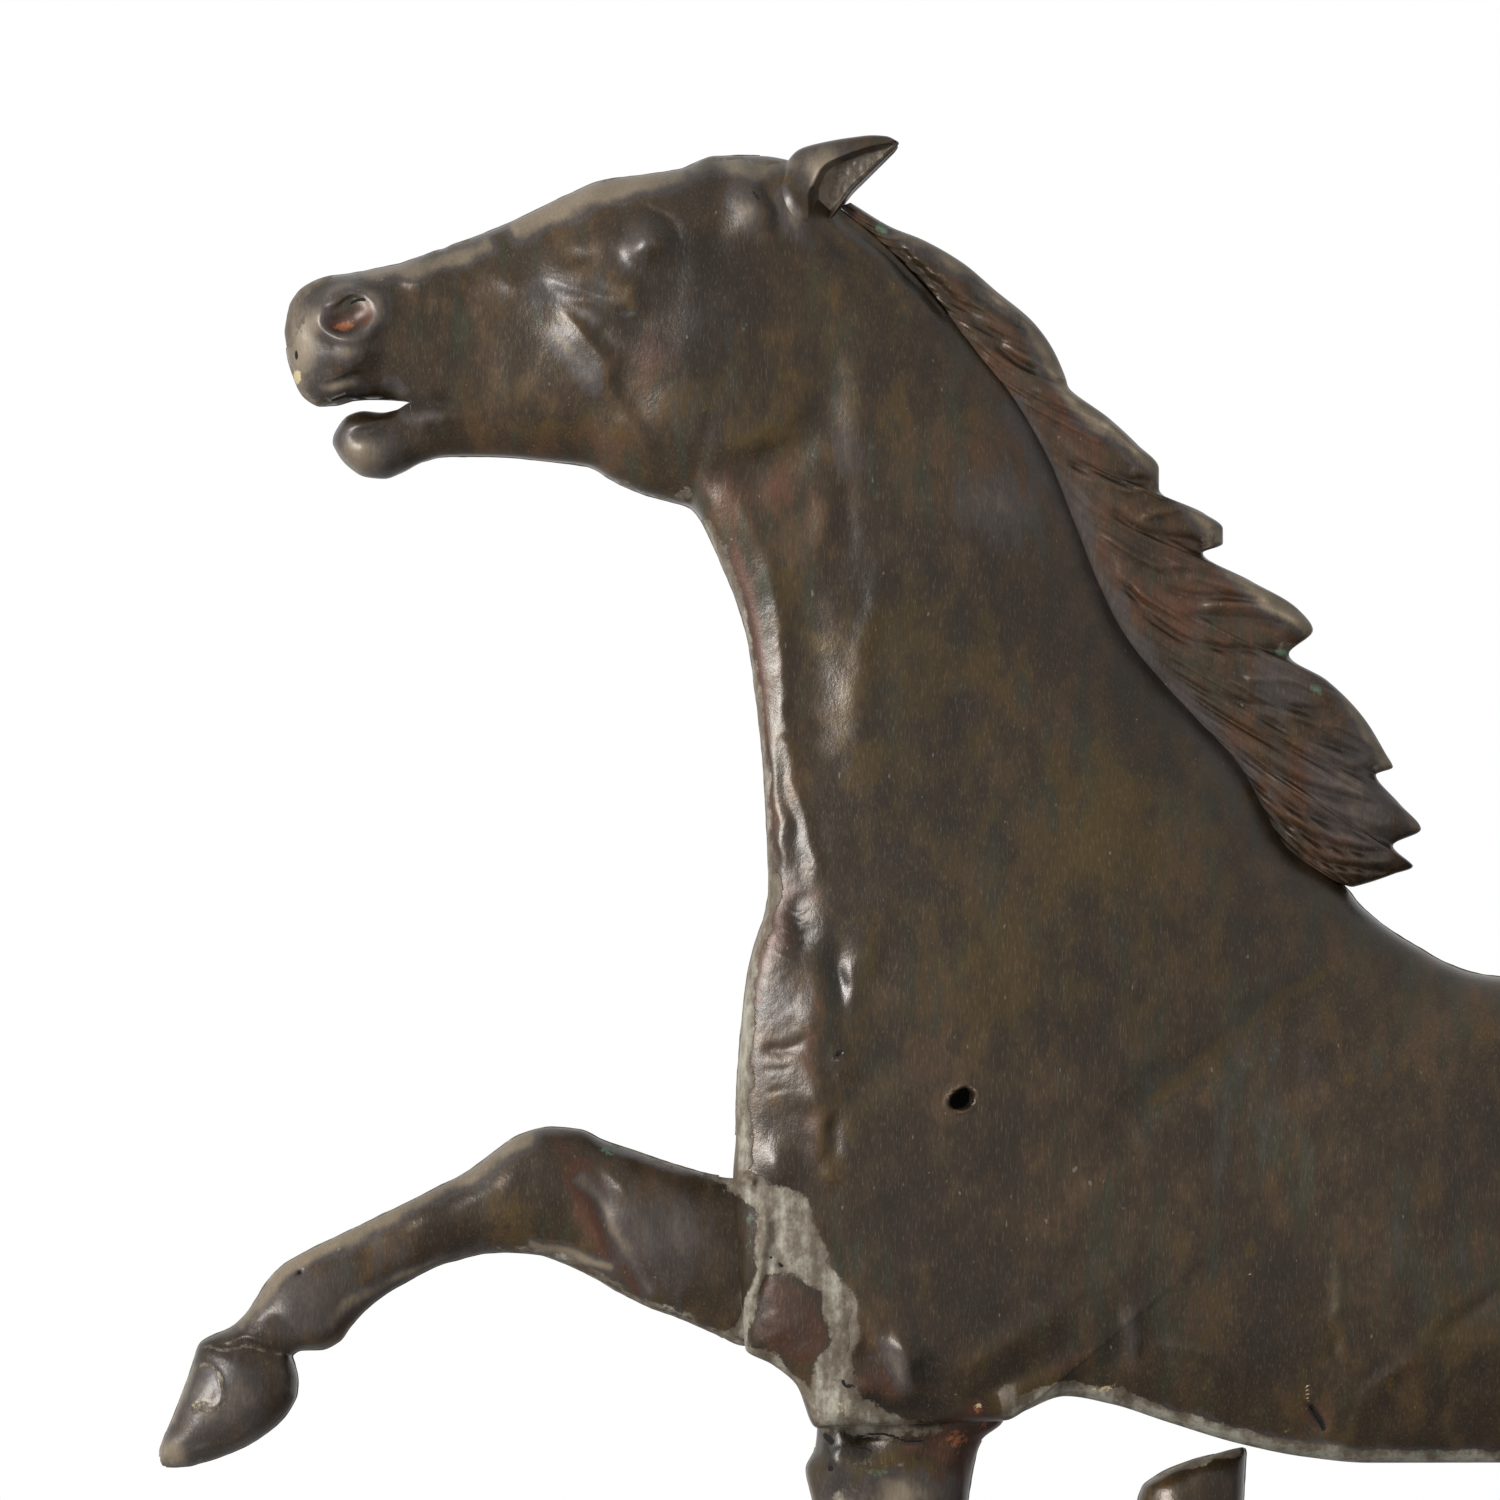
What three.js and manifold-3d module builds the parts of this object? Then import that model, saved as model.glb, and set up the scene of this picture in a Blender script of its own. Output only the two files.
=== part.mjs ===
// Horse weathervane. A hollow copper horse, formed as a left and a right half that meet on the plane y = 0,
// faces -X and turns about +Z on an iron spindle. The origin is the centre of the spindle foot's underside.
// A rib is a row of pixels of the photograph, y down: lower x and y, upper x and y, half thickness, and the
// heights that the sheet keeps at its lower and upper edge, where another piece joins it.
import * as THREE from "three";
import { mergeVertices } from "three/addons/utils/BufferGeometryUtils.js";
import Module from "manifold-3d";

const wasm = await Module();
wasm.setup();

// Driving dimensions, in millimetres
const figureLength = 787;
const sheetThickness = 1;
const seamGap = 0.3;
const seatGap = 0.3;
const figureLift = 90;
const cutOverrun = 5;

// Where the figure lies in the photograph's frame, carried on past its right and bottom edges
const frontHoofPixel = 162;
const hindHoofPixel = 2622;
const lowestHoofPixel = 2117;
const spindlePixel = 1570;
const bellyAtSpindlePixel = 1458;
const backAtSpindlePixel = 989;
const pixel = figureLength / (hindHoofPixel - frontHoofPixel);

// Spindle, bearing and foot
const rodRadius = 6.35;
const rodChamfer = 1.5;
const runningGap = 0.4;
const ballRadius = 5;
const tubeWall = 1.5;
const tubeBore = 9;
const tubeBelowBelly = 9;
const tubeBelowBack = 16;
const capPlugLength = 14;
const capThickness = 3;
const capSeatDepth = 3;
const bushLength = 22;
const bushFlangeRadius = 13;
const bushFlangeThickness = 2.5;
const flangeRadius = 45;
const flangeThickness = 7;
const bossRadius = 15;
const bossHeight = 34;
const socketFloor = 4;
const flangeHoleRadius = 3.5;
const flangeHoleCircleRadius = 33;
const flangeHoleCount = 4;
const setScrewRadius = 3;
const setScrewHeight = 22;
const setScrewHeadSide = 8;
const setScrewHeadThickness = 5;
const braceThickness = 1.5;
const braceLength = 44;
const braceFromTubeEnd = 24;
const patchThickness = 0.8;
const roundSegments = 32;
const ballSegments = 16;

// How far each leg leans out of the middle plane at its hoof, towards the side that it stands on,
// and how far each ear stands from that plane at its root and at its tip
const foreLegSpread = 10;
const hindLegSpread = 12;
const earRootSpread = 9;
const earTipSpread = 12.5;
const maneReach = 2.5;
const noSpread = 0;

// Cross-section fullness: 2 is an ellipse, more is flatter with rounder shoulders
const bodyFullness = 2.5;
const limbFullness = 2.1;
const maneFullness = 2.6;
const bodyColumns = 9;
const limbColumns = 5;
const maneColumns = 4;
const largestInsetShare = 0.25;
const thinnestSkinShare = 0.05;

// Joint lines, where the open end of one piece meets the open edge of the body. half is half the opening's
// thickness, bodyHalf the body's there, and crest the body's far edge beside it, from end to end.
const jawJointPixels = {
  from: [409, 402],
  to: [417, 463],
  half: 36,
  bodyHalf: 51,
  crest: [[420, 257], [427, 254], [435, 251], [444, 249], [453, 245]],
};
const raisedLegJointPixels = {
  from: [733, 1178],
  to: [745, 1346],
  half: 45,
  bodyHalf: 109,
  crest: [[1347, 889], [1359, 904], [1377, 920], [1399, 936], [1421, 949]],
};
const foldedLegJointPixels = {
  from: [817, 1425],
  to: [1004, 1418],
  half: 48,
  bodyHalf: 110,
  crest: [[1466, 971], [1479, 974], [1492, 976], [1505, 977.5], [1517, 979]],
};
const farHindJointPixels = {
  from: [1738, 1437],
  to: [1893, 1498],
  half: 50,
  bodyHalf: 110,
  crest: [[1938, 948], [1956, 953], [1974, 960], [1991, 967], [2007, 975]],
};
const nearHindJointPixels = {
  from: [1925, 1498],
  to: [2061, 1362],
  half: 52,
  bodyHalf: 112,
  crest: [[2015, 979], [2023, 983], [2031, 987], [2039, 992], [2046, 996]],
};
const tailJointPixels = { from: [2046, 996], to: [2090, 1046], half: 24 };

const muzzleRibPixels = [
  [286, 342, 286, 322, 10],
  [289, 362, 290, 306, 24],
  [295, 380, 300, 291, 34],
  [304, 396, 315, 281, 42],
  [320, 406, 332, 276, 47],
  [336, 405, 350, 274, 50],
  [354, 400, 370, 270, 51],
  [382, 399, 400, 264, 51],
];
const cheekRibPixels = [
  [440, 457, 470, 239, 51],
  [470, 456, 500, 227, 52],
  [505, 457, 535, 211, 55],
  [545, 461, 570, 194, 60],
  [586, 466, 606, 180, 66],
  [612, 480, 645, 175, 72],
  [640, 493, 682, 169, 76],
  [668, 501, 715, 156.5, 78],
  [689, 507, 760, 156, 78],
];
const neckRibPixels = [
  [696, 513, 787, 160, 78, 0, 4],
  [702, 522, 812, 180, 77, 0, 12],
  [709, 536, 838, 207, 76, 0, 20],
  [717, 553, 874, 237, 75, 0, 25],
  [725, 572, 919, 282, 74, 0, 26],
  [735, 596, 951, 320, 74, 0, 26],
  [743, 620, 976, 352, 74, 0, 26],
  [749, 645, 1011, 396, 75, 0, 26],
  [754, 680, 1047, 458, 77, 0, 26],
  [759, 720, 1075, 526, 80, 0, 26],
  [763, 760, 1097, 582, 84, 0, 26],
  [766, 805, 1124, 635, 88, 0, 26],
  [768, 850, 1160, 680, 93, 0, 26],
  [769, 890, 1204, 727, 98, 0, 26],
  [764, 918, 1236, 762, 102, 0, 26],
  [755, 943, 1261, 804, 105, 0, 24],
  [746, 985, 1280, 838, 107, 0, 22],
  [741, 1035, 1300, 857, 108, 0, 18],
  [737, 1085, 1318, 867, 108, 0, 10],
  [736, 1135, 1334, 878, 108, 0, 0],
];
const chestRibPixels = [
  [772, 1362, 1434, 957, 110],
  [795, 1381, 1446, 963, 110],
];
const barrelRibPixels = [
  [1022, 1409, 1528, 981, 110],
  [1064, 1394, 1552, 985, 111],
  [1110, 1402, 1582, 990, 112],
  [1166, 1420, 1614, 994, 113],
  [1239, 1442, 1652, 996, 114],
  [1303, 1455, 1692, 992, 115],
  [1367, 1461, 1730, 984, 115],
  [1440, 1461, 1767, 973, 114],
  [1510, 1461, 1804, 961, 112],
  [1580, 1457, 1840, 951, 109],
  [1640, 1448, 1875, 945, 107],
  [1694, 1437, 1908, 944, 107],
];
const buttockRibPixels = [
  [2068, 1341, 2068, 1021, 102, 0, 24],
  [2074, 1326, 2090, 1046, 92],
  [2078, 1318, 2094, 1062, 88],
  [2092, 1262, 2100, 1094, 66],
  [2101, 1210, 2104, 1130, 34],
  [2104, 1184, 2105, 1158, 12],
];
const jawRibPixels = [
  [335, 449, 333, 438, 10],
  [341, 459, 338, 427, 24],
  [351, 469, 349, 415, 32],
  [365, 477, 364, 411, 36],
  [384, 479, 382, 412.5, 37],
  [402, 473, 396, 410, 37],
  [421, 463, 413, 402, 36],
];

const raisedLegRibPixels = [
  [712, 1332, 712, 1175, 45],
  [680, 1318, 688, 1168.5, 44],
  [648, 1306, 660, 1160, 43],
  [618, 1291, 632, 1150, 42],
  [590, 1275, 605, 1141, 41],
  [563, 1262, 578, 1129, 41],
  [538, 1254, 550, 1127, 41],
  [512, 1251.5, 522, 1134, 39],
  [487, 1252.5, 498, 1149, 35],
  [462, 1258, 470, 1170, 30],
  [438, 1265, 435, 1188.5, 27],
  [412, 1278, 400, 1206, 25],
  [388, 1292, 365, 1223, 25],
  [368, 1307, 332, 1238.5, 26],
  [352, 1324, 303, 1253, 28],
  [340, 1340, 283, 1265, 30],
  [322, 1348, 268, 1281, 31],
  [302, 1349, 258, 1297, 30],
  [293, 1355, 247, 1313, 30],
  [296, 1364, 232, 1326.5, 32],
  [299, 1378, 215, 1334, 36],
  [298, 1392, 201, 1342.5, 40],
  [290, 1409, 195, 1360, 41],
  [272, 1428, 188, 1381, 40],
  [245, 1445, 180, 1402, 37],
  [215, 1457, 172, 1422, 30],
  [188, 1464, 165, 1438, 21],
  [170, 1465, 161.5, 1452, 8],
];

const foldedLegRibPixels = [
  [815, 1448, 981, 1441, 48],
  [806, 1470, 972, 1472, 47],
  [813, 1502, 967, 1504, 46],
  [820, 1545, 955, 1545, 43],
  [823, 1590, 940, 1586, 40],
  [821, 1630, 932, 1620, 39],
  [815, 1668, 932, 1648, 39],
  [816, 1705, 938, 1664, 39],
  [832, 1742, 946, 1672, 38],
  [862, 1768, 956, 1676, 36],
  [898, 1774, 968, 1676, 33],
  [935, 1766, 985, 1673, 30],
  [975, 1751, 1010, 1666, 27],
  [1018, 1738, 1040, 1659, 25],
  [1060, 1728, 1070, 1650, 25],
  [1100, 1722, 1094, 1636, 26],
  [1138, 1716, 1110, 1618, 29],
  [1172, 1700, 1124, 1602, 31],
  [1196, 1674, 1140, 1594, 30],
  [1208, 1646, 1152, 1586, 30],
  [1216, 1618, 1156, 1574, 31],
  [1226, 1592, 1152, 1556, 33],
  [1238, 1568, 1144, 1540, 37],
  [1243, 1546, 1139, 1522, 40],
  [1243.5, 1520, 1139, 1504, 41],
  [1245, 1494, 1143, 1489, 40],
  [1246, 1472, 1160, 1476, 36],
  [1247, 1456, 1190, 1463, 28],
  [1245, 1449, 1220, 1455, 14],
];

const farHindRibPixels = [
  [1752, 1475, 1905, 1520, 47],
  [1772, 1520, 1925, 1545, 45],
  [1800, 1565, 1950, 1575, 42],
  [1832, 1605, 1978, 1603, 39],
  [1862, 1640, 2006, 1628, 37],
  [1888, 1675, 2020, 1660, 36],
  [1906, 1712, 2017, 1700, 35],
  [1920, 1750, 2012, 1735, 31],
  [1934, 1790, 2016, 1775, 27],
  [1950, 1830, 2028, 1815, 25],
  [1966, 1868, 2044, 1852, 25],
  [1980, 1900, 2062, 1880, 27],
  [1990, 1928, 2075, 1905, 30],
  [1996, 1952, 2074, 1932, 30],
  [1998, 1976, 2064, 1954, 29],
  [1996, 1998, 2066, 1974, 31],
  [1990, 2018, 2078, 1996, 36],
  [1984, 2040, 2086, 2020, 40],
  [1976, 2064, 2086, 2046, 41],
  [1968, 2088, 2072, 2070, 38],
  [1964, 2106, 2040, 2090, 28],
  [1967, 2117, 2000, 2110, 12],
];

const nearHindRibPixels = [
  [1962, 1522, 2090, 1398, 47],
  [2005, 1548, 2124, 1434, 44],
  [2050, 1575, 2160, 1468, 41],
  [2096, 1601, 2198, 1500, 38],
  [2140, 1625, 2236, 1524, 37],
  [2180, 1650, 2268, 1540, 37],
  [2215, 1676, 2285, 1562, 35],
  [2248, 1697, 2296, 1596, 31],
  [2286, 1716, 2318, 1630, 27],
  [2326, 1736, 2352, 1658, 25],
  [2368, 1756, 2396, 1682, 25],
  [2402, 1778, 2436, 1706, 26],
  [2432, 1800, 2474, 1722, 29],
  [2462, 1818, 2497, 1744, 30],
  [2488, 1830, 2512, 1762, 29],
  [2512, 1842, 2535, 1772, 31],
  [2536, 1858, 2564, 1768, 36],
  [2556, 1874, 2590, 1776, 40],
  [2576, 1886, 2608, 1796, 41],
  [2594, 1893, 2616, 1822, 36],
  [2608, 1895, 2620, 1848, 28],
  [2617, 1892, 2622, 1870, 14],
];

// Mane: from the crest of the neck, the lower point, out along the locks to their tips, the upper point
const maneRibPixels = [
  [843, 205, 851, 203, 21, 20],
  [874, 237, 893, 228, 24, 25],
  [900, 262, 921, 239, 25, 26],
  [925, 290, 963, 263, 25, 26],
  [940, 308, 995, 290, 26, 26],
  [955, 325, 1035, 324, 27, 26],
  [968, 342, 1054, 351, 27, 26],
  [978, 356, 1066, 379, 27, 26],
  [990, 370, 1068, 386, 27, 26],
  [1004, 388, 1110, 419, 27, 26],
  [1017, 407, 1138, 445, 27, 26],
  [1026, 422, 1159, 469, 27, 26],
  [1034, 436, 1159, 488, 27, 26],
  [1042, 450, 1205, 514, 27, 26],
  [1050, 464, 1223, 529, 27, 26],
  [1055, 476, 1223, 543, 27, 26],
  [1060, 488, 1203, 553, 27, 26],
  [1067, 506, 1251, 581, 27, 26],
  [1075, 526, 1298, 609, 27, 26],
  [1081, 542, 1313, 630, 27, 26],
  [1088, 559, 1289, 654, 27, 26],
  [1097, 582, 1328, 681, 27, 26],
  [1108, 605, 1364, 718, 27, 26],
  [1120, 629, 1386, 754, 27, 26],
  [1130, 643, 1393, 767, 27, 26],
  [1140, 655, 1376, 775, 27, 26],
  [1154, 673, 1399, 803, 27, 26],
  [1172, 693, 1421, 829, 27, 26],
  [1186, 708, 1393, 846, 27, 26],
  [1204, 727, 1413, 866, 26, 26],
  [1224, 750, 1394, 874, 26, 25],
  [1249, 784, 1368, 883, 25, 24],
  [1273, 826, 1352, 887, 24, 22],
  [1303, 859, 1347, 886, 20, 16],
];

const tailRibPixels = [
  [2112, 1042, 2072, 974, 27],
  [2138, 1042, 2108, 955, 31],
  [2166, 1050, 2150, 948, 34],
  [2192, 1068, 2196, 948, 36],
  [2216, 1094, 2242, 956, 37],
  [2238, 1124, 2288, 972, 37],
  [2252, 1150, 2334, 994, 36],
  [2242, 1180, 2372, 1018, 36],
  [2284, 1206, 2398, 1040, 35],
  [2306, 1244, 2420, 1050, 34],
  [2300, 1280, 2444, 1088, 33],
  [2330, 1312, 2474, 1132, 32],
  [2346, 1352, 2502, 1166, 30],
  [2352, 1392, 2510, 1204, 27],
  [2394, 1408, 2534, 1256, 24],
  [2420, 1444, 2560, 1300, 19],
  [2454, 1436, 2562, 1336, 14],
  [2496, 1456, 2588, 1376, 10],
  [2540, 1444, 2600, 1412, 4],
];

const earRibPixels = [
  [812, 246, 768, 196, 27],
  [843, 206, 799, 151, 25],
  [853, 193, 825, 143.5, 22],
  [865, 181, 852, 139, 18],
  [877, 169, 872, 137, 13],
  [889, 157, 886, 138, 8],
  [896.5, 149, 895, 142, 3],
];

// Rounded swellings of the body: centre x, centre y, radius x, radius y and rise, in pixels
const bodySwellPixels = [
  [352, 325, 34, 32, 9],
  [560, 310, 70, 30, 8],
  [650, 250, 32, 28, 16],
  [735, 395, 92, 92, 12],
  [875, 600, 45, 170, 7],
  [790, 1040, 34, 90, 16],
  [1010, 1120, 190, 230, 9],
  [1950, 1250, 130, 190, 14],
];

// Outline of the sheet patch on the left shoulder
const patchPixels = [
  [752, 1174],
  [774, 1171],
  [799, 1181],
  [815, 1221],
  [824, 1253],
  [843, 1279],
  [861, 1295],
  [857, 1323],
  [850, 1371],
  [826, 1388],
  [800, 1370],
  [775, 1350],
  [758, 1338],
];

const copper = { color: 0x47392b, roughness: 0.42, metalness: 0.75 };
const bareCopper = { color: 0x6b3a2a, roughness: 0.5, metalness: 0.7 };
const castBrass = { color: 0x7a6238, roughness: 0.45, metalness: 0.85 };
const darkIron = { color: 0x3a3532, roughness: 0.65, metalness: 0.8 };
const polishedSteel = { color: 0xb0b2b6, roughness: 0.2, metalness: 1 };

const mix = (a, b, share) => a + (b - a) * share;
const alongX = (pixelX) => (pixelX - spindlePixel) * pixel;
const alongZ = (pixelY) => (lowestHoofPixel - pixelY) * pixel + figureLift;
const shareAlong = (count, index) => index / (count - 1);

// Body ribs along a joint line; their edge stands open as a half ellipse between the line's ends.
const jointRibs = ({ from, to, half, bodyHalf, crest }) =>
  crest.map((crestPoint, index) => {
    const share = shareAlong(crest.length, index);
    const edge = half * Math.sin(Math.PI * share);
    return [mix(from[0], to[0], share), mix(from[1], to[1], share), ...crestPoint, bodyHalf, edge, 0];
  });

// The rib on which a limb starts, moved off its joint line by the seat gap along the given direction.
function rootRib({ from, to, half }, towards) {
  const length = Math.hypot(...towards);
  const [dx, dy] = towards.map((part) => (part / length) * (seatGap / pixel));
  return [from[0] + dx, from[1] + dy, to[0] + dx, to[1] + dy, half];
}

const bodyRibs = [
  ...muzzleRibPixels,
  ...jointRibs(jawJointPixels),
  ...cheekRibPixels,
  ...neckRibPixels,
  ...jointRibs(raisedLegJointPixels),
  ...chestRibPixels,
  ...jointRibs(foldedLegJointPixels),
  ...barrelRibPixels,
  ...jointRibs(farHindJointPixels),
  ...jointRibs(nearHindJointPixels),
  ...buttockRibPixels,
];

const swellAt = (x, y) =>
  bodySwellPixels.reduce(
    (sum, [centreX, centreY, radiusX, radiusY, rise]) =>
      sum + rise * Math.exp(-(((x - centreX) / radiusX) ** 2) - ((y - centreY) / radiusY) ** 2),
    0,
  );

const pixelOnRib = ([lowerX, lowerY, upperX, upperY], share) => [
  mix(lowerX, upperX, share),
  mix(lowerY, upperY, share),
];

// How far the skin stands off the seam, at a share of the way across one rib.
function heightAt(rib, share, form) {
  const [half, lowerEdge = 0, upperEdge = 0] = rib.slice(4);
  const arch = Math.max(Math.sin(Math.acos(1 - 2 * share)), 0) ** (2 / form.fullness);
  const edge = mix(lowerEdge, upperEdge, share);
  const swell = form.swells ? swellAt(...pixelOnRib(rib, share)) : 0;
  return (edge + (half - edge + swell) * arch) * pixel;
}

const ribWidth = ([lowerX, lowerY, upperX, upperY]) =>
  Math.hypot(upperX - lowerX, upperY - lowerY) * pixel;
const columnShares = ({ columns }) =>
  Array.from({ length: columns }, (_, column) => (1 - Math.cos(Math.PI * shareAlong(columns, column))) / 2);

// How far a limb's middle plane has moved out of y = 0 at one rib, growing smoothly from its root.
function leanAt(form, ribCount, index) {
  const share = shareAlong(ribCount, index);
  return form.spread * share * share * (3 - 2 * share);
}

// One stamped half: rings of outer points from lower to upper edge, then inner points back again.
function halfShell(ribs, side, form) {
  const rings = ribs.map((rib, index) => {
    const closed = (form.closedStart && index === 0) || (form.closedEnd && index === ribs.length - 1);
    const inset = Math.min(sheetThickness / ribWidth(rib), largestInsetShare);
    const lean = leanAt(form, ribs.length, index);
    const place = (share, height) => {
      const [x, y] = pixelOnRib(rib, share);
      return [alongX(x), lean + side * (seamGap / 2 + height), alongZ(y)];
    };
    const shares = columnShares(form);
    const outer = shares.map((share) => place(share, heightAt(rib, share, form)));
    const inner = shares.map((share) => {
      const innerShare = mix(inset, 1 - inset, share);
      const atEdge = share === 0 || share === 1;
      const skinHeight = heightAt(rib, atEdge ? share : innerShare, form);
      return place(innerShare, closed ? 0 : Math.max(skinHeight - sheetThickness, 0));
    });
    return [...outer, ...inner.reverse()];
  });
  return loft(rings);
}

// The closed outer skin of both halves together, grown outwards by a clearance, for cutting neighbours.
function envelope(ribs, grow, form) {
  const thinnest = thinnestSkinShare * sheetThickness;
  const rings = ribs.map((rib, index) => {
    const widen = grow / ribWidth(rib);
    const lean = leanAt(form, ribs.length, index);
    const skin = (side) =>
      columnShares(form).map((share) => {
        const [x, y] = pixelOnRib(rib, mix(-widen, 1 + widen, share));
        const height = seamGap / 2 + heightAt(rib, share, form) + grow;
        return [alongX(x), lean + side * Math.max(height, thinnest), alongZ(y)];
      });
    return [...skin(-1), ...skin(1).reverse()];
  });
  return loft(rings);
}

// A closed surface through rings of equal length; ring point j and its mirror in the ring close each end.
function loft(rings) {
  const size = rings[0].length;
  const positions = new Float32Array(rings.flat(2));
  const faces = [];
  const quad = (a, b, c, d) => faces.push(a, b, c, a, c, d);
  for (let ring = 0; ring < rings.length - 1; ring += 1) {
    for (let point = 0; point < size; point += 1) {
      const next = (point + 1) % size;
      quad(ring * size + point, ring * size + next, (ring + 1) * size + next, (ring + 1) * size + point);
    }
  }
  const last = (rings.length - 1) * size;
  for (let point = 0; point < size / 2 - 1; point += 1) {
    const across = size - 1 - point;
    quad(point, across, across - 1, point + 1);
    quad(last + point, last + point + 1, last + across - 1, last + across);
  }
  const geometry = new THREE.BufferGeometry();
  geometry.setAttribute("position", new THREE.BufferAttribute(positions, 3));
  geometry.setIndex(faces);
  return facingOut(geometry);
}

// Turns every face round if the surface encloses a negative volume.
function facingOut(geometry) {
  const { array } = geometry.getAttribute("position");
  const index = geometry.getIndex().array;
  const corner = (vertex) => new THREE.Vector3().fromArray(array, vertex * 3);
  let volume = 0;
  for (let face = 0; face < index.length; face += 3) {
    const [a, b, c] = [0, 1, 2].map((offset) => corner(index[face + offset]));
    volume += a.dot(b.cross(c));
  }
  if (volume < 0) geometry.setIndex([...index].reverse());
  return geometry;
}

function toSolid(geometry) {
  const bare = geometry.clone();
  bare.deleteAttribute("normal");
  bare.deleteAttribute("uv");
  const merged = mergeVertices(bare);
  return new wasm.Manifold(
    new wasm.Mesh({
      numProp: 3,
      vertProperties: merged.getAttribute("position").array,
      triVerts: new Uint32Array(merged.getIndex().array),
    }),
  );
}

function toGeometry(solid) {
  const mesh = solid.getMesh();
  const geometry = new THREE.BufferGeometry();
  geometry.setAttribute("position", new THREE.BufferAttribute(mesh.vertProperties, mesh.numProp));
  geometry.setIndex(new THREE.BufferAttribute(mesh.triVerts, 1));
  return geometry;
}

const combine = (operation, first, ...others) =>
  toGeometry(others.reduce((solid, other) => solid[operation](toSolid(other)), toSolid(first)));
const cut = (first, ...others) => combine("subtract", first, ...others);
const join = (first, ...others) => combine("add", first, ...others);
const overlap = (first, ...others) => combine("intersect", first, ...others);

// A turned piece about +Z from its [radius, height] profile.
function turned(profile, segments = roundSegments) {
  const points = profile.map(([radius, height]) => new THREE.Vector2(radius, height));
  return new THREE.LatheGeometry(points, segments).rotateX(Math.PI / 2);
}
const uprightCylinder = (radius, bottom, top, segments = roundSegments) =>
  turned([[0, bottom], [radius, bottom], [radius, top], [0, top]], segments);

const vane = new THREE.Group();
const spindle = new THREE.Group();
const figure = new THREE.Group();
vane.add(spindle, figure);

function addPiece(group, name, geometry, finish) {
  const mesh = new THREE.Mesh(geometry, new THREE.MeshStandardMaterial(finish));
  mesh.name = name;
  group.add(mesh);
}

const sides = [
  ["left", -1],
  ["right", 1],
];
const bodyForm = { columns: bodyColumns, fullness: bodyFullness, spread: noSpread, swells: true };
const limbForm = { columns: limbColumns, fullness: limbFullness, spread: noSpread };

// The tube, cap, ball and rod stand between the belly and the back at the spindle
const tubeBottom = alongZ(bellyAtSpindlePixel) - tubeBelowBelly;
const tubeTop = alongZ(backAtSpindlePixel) - tubeBelowBack;
const tubeRadius = tubeBore + tubeWall;
const capPlugBottom = tubeTop - capPlugLength;
const seatSlope = Math.hypot(ballRadius, capSeatDepth) / ballRadius;
const ballCentre = capPlugBottom + capSeatDepth - (ballRadius + seatGap) * seatSlope;
const rodTop = ballCentre - ballRadius - seatGap;

function buildSpindle() {
  const rodBottom = socketFloor + seatGap;
  addPiece(
    spindle,
    "spindle_rod",
    turned([
      [0, rodBottom],
      [rodRadius - rodChamfer, rodBottom],
      [rodRadius, rodBottom + rodChamfer],
      [rodRadius, rodTop - rodChamfer],
      [rodRadius - rodChamfer, rodTop],
      [0, rodTop],
    ]),
    darkIron,
  );
  const ball = new THREE.SphereGeometry(ballRadius, ballSegments, ballSegments / 2);
  addPiece(spindle, "thrust_ball", ball.rotateX(Math.PI / 2).translate(0, 0, ballCentre), polishedSteel);
  const shank = (radius, from, to) =>
    uprightCylinder(radius, from, to, ballSegments).rotateY(Math.PI / 2).translate(0, 0, setScrewHeight);
  const holes = Array.from({ length: flangeHoleCount }, (_, index) => {
    const angle = ((index + 0.5) / flangeHoleCount) * 2 * Math.PI;
    const x = flangeHoleCircleRadius * Math.cos(angle);
    const y = flangeHoleCircleRadius * Math.sin(angle);
    const top = flangeThickness + cutOverrun;
    return uprightCylinder(flangeHoleRadius, -cutOverrun, top, ballSegments).translate(x, y, 0);
  });
  const flangeBlank = turned([
    [0, 0],
    [flangeRadius, 0],
    [flangeRadius, flangeThickness],
    [bossRadius, flangeThickness],
    [bossRadius, bossHeight],
    [rodRadius + runningGap, bossHeight],
    [rodRadius + runningGap, socketFloor],
    [0, socketFloor],
  ]);
  addPiece(
    spindle,
    "roof_flange",
    cut(flangeBlank, ...holes, shank(setScrewRadius + seatGap, 0, bossRadius + cutOverrun)),
    darkIron,
  );
  const head = new THREE.BoxGeometry(setScrewHeadThickness, setScrewHeadSide, setScrewHeadSide).translate(
    bossRadius + seatGap + setScrewHeadThickness / 2,
    0,
    setScrewHeight,
  );
  const screw = shank(setScrewRadius, rodRadius + seatGap, bossRadius + seatGap + setScrewHeadThickness / 2);
  addPiece(spindle, "flange_set_screw", join(screw, head), darkIron);
}

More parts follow.
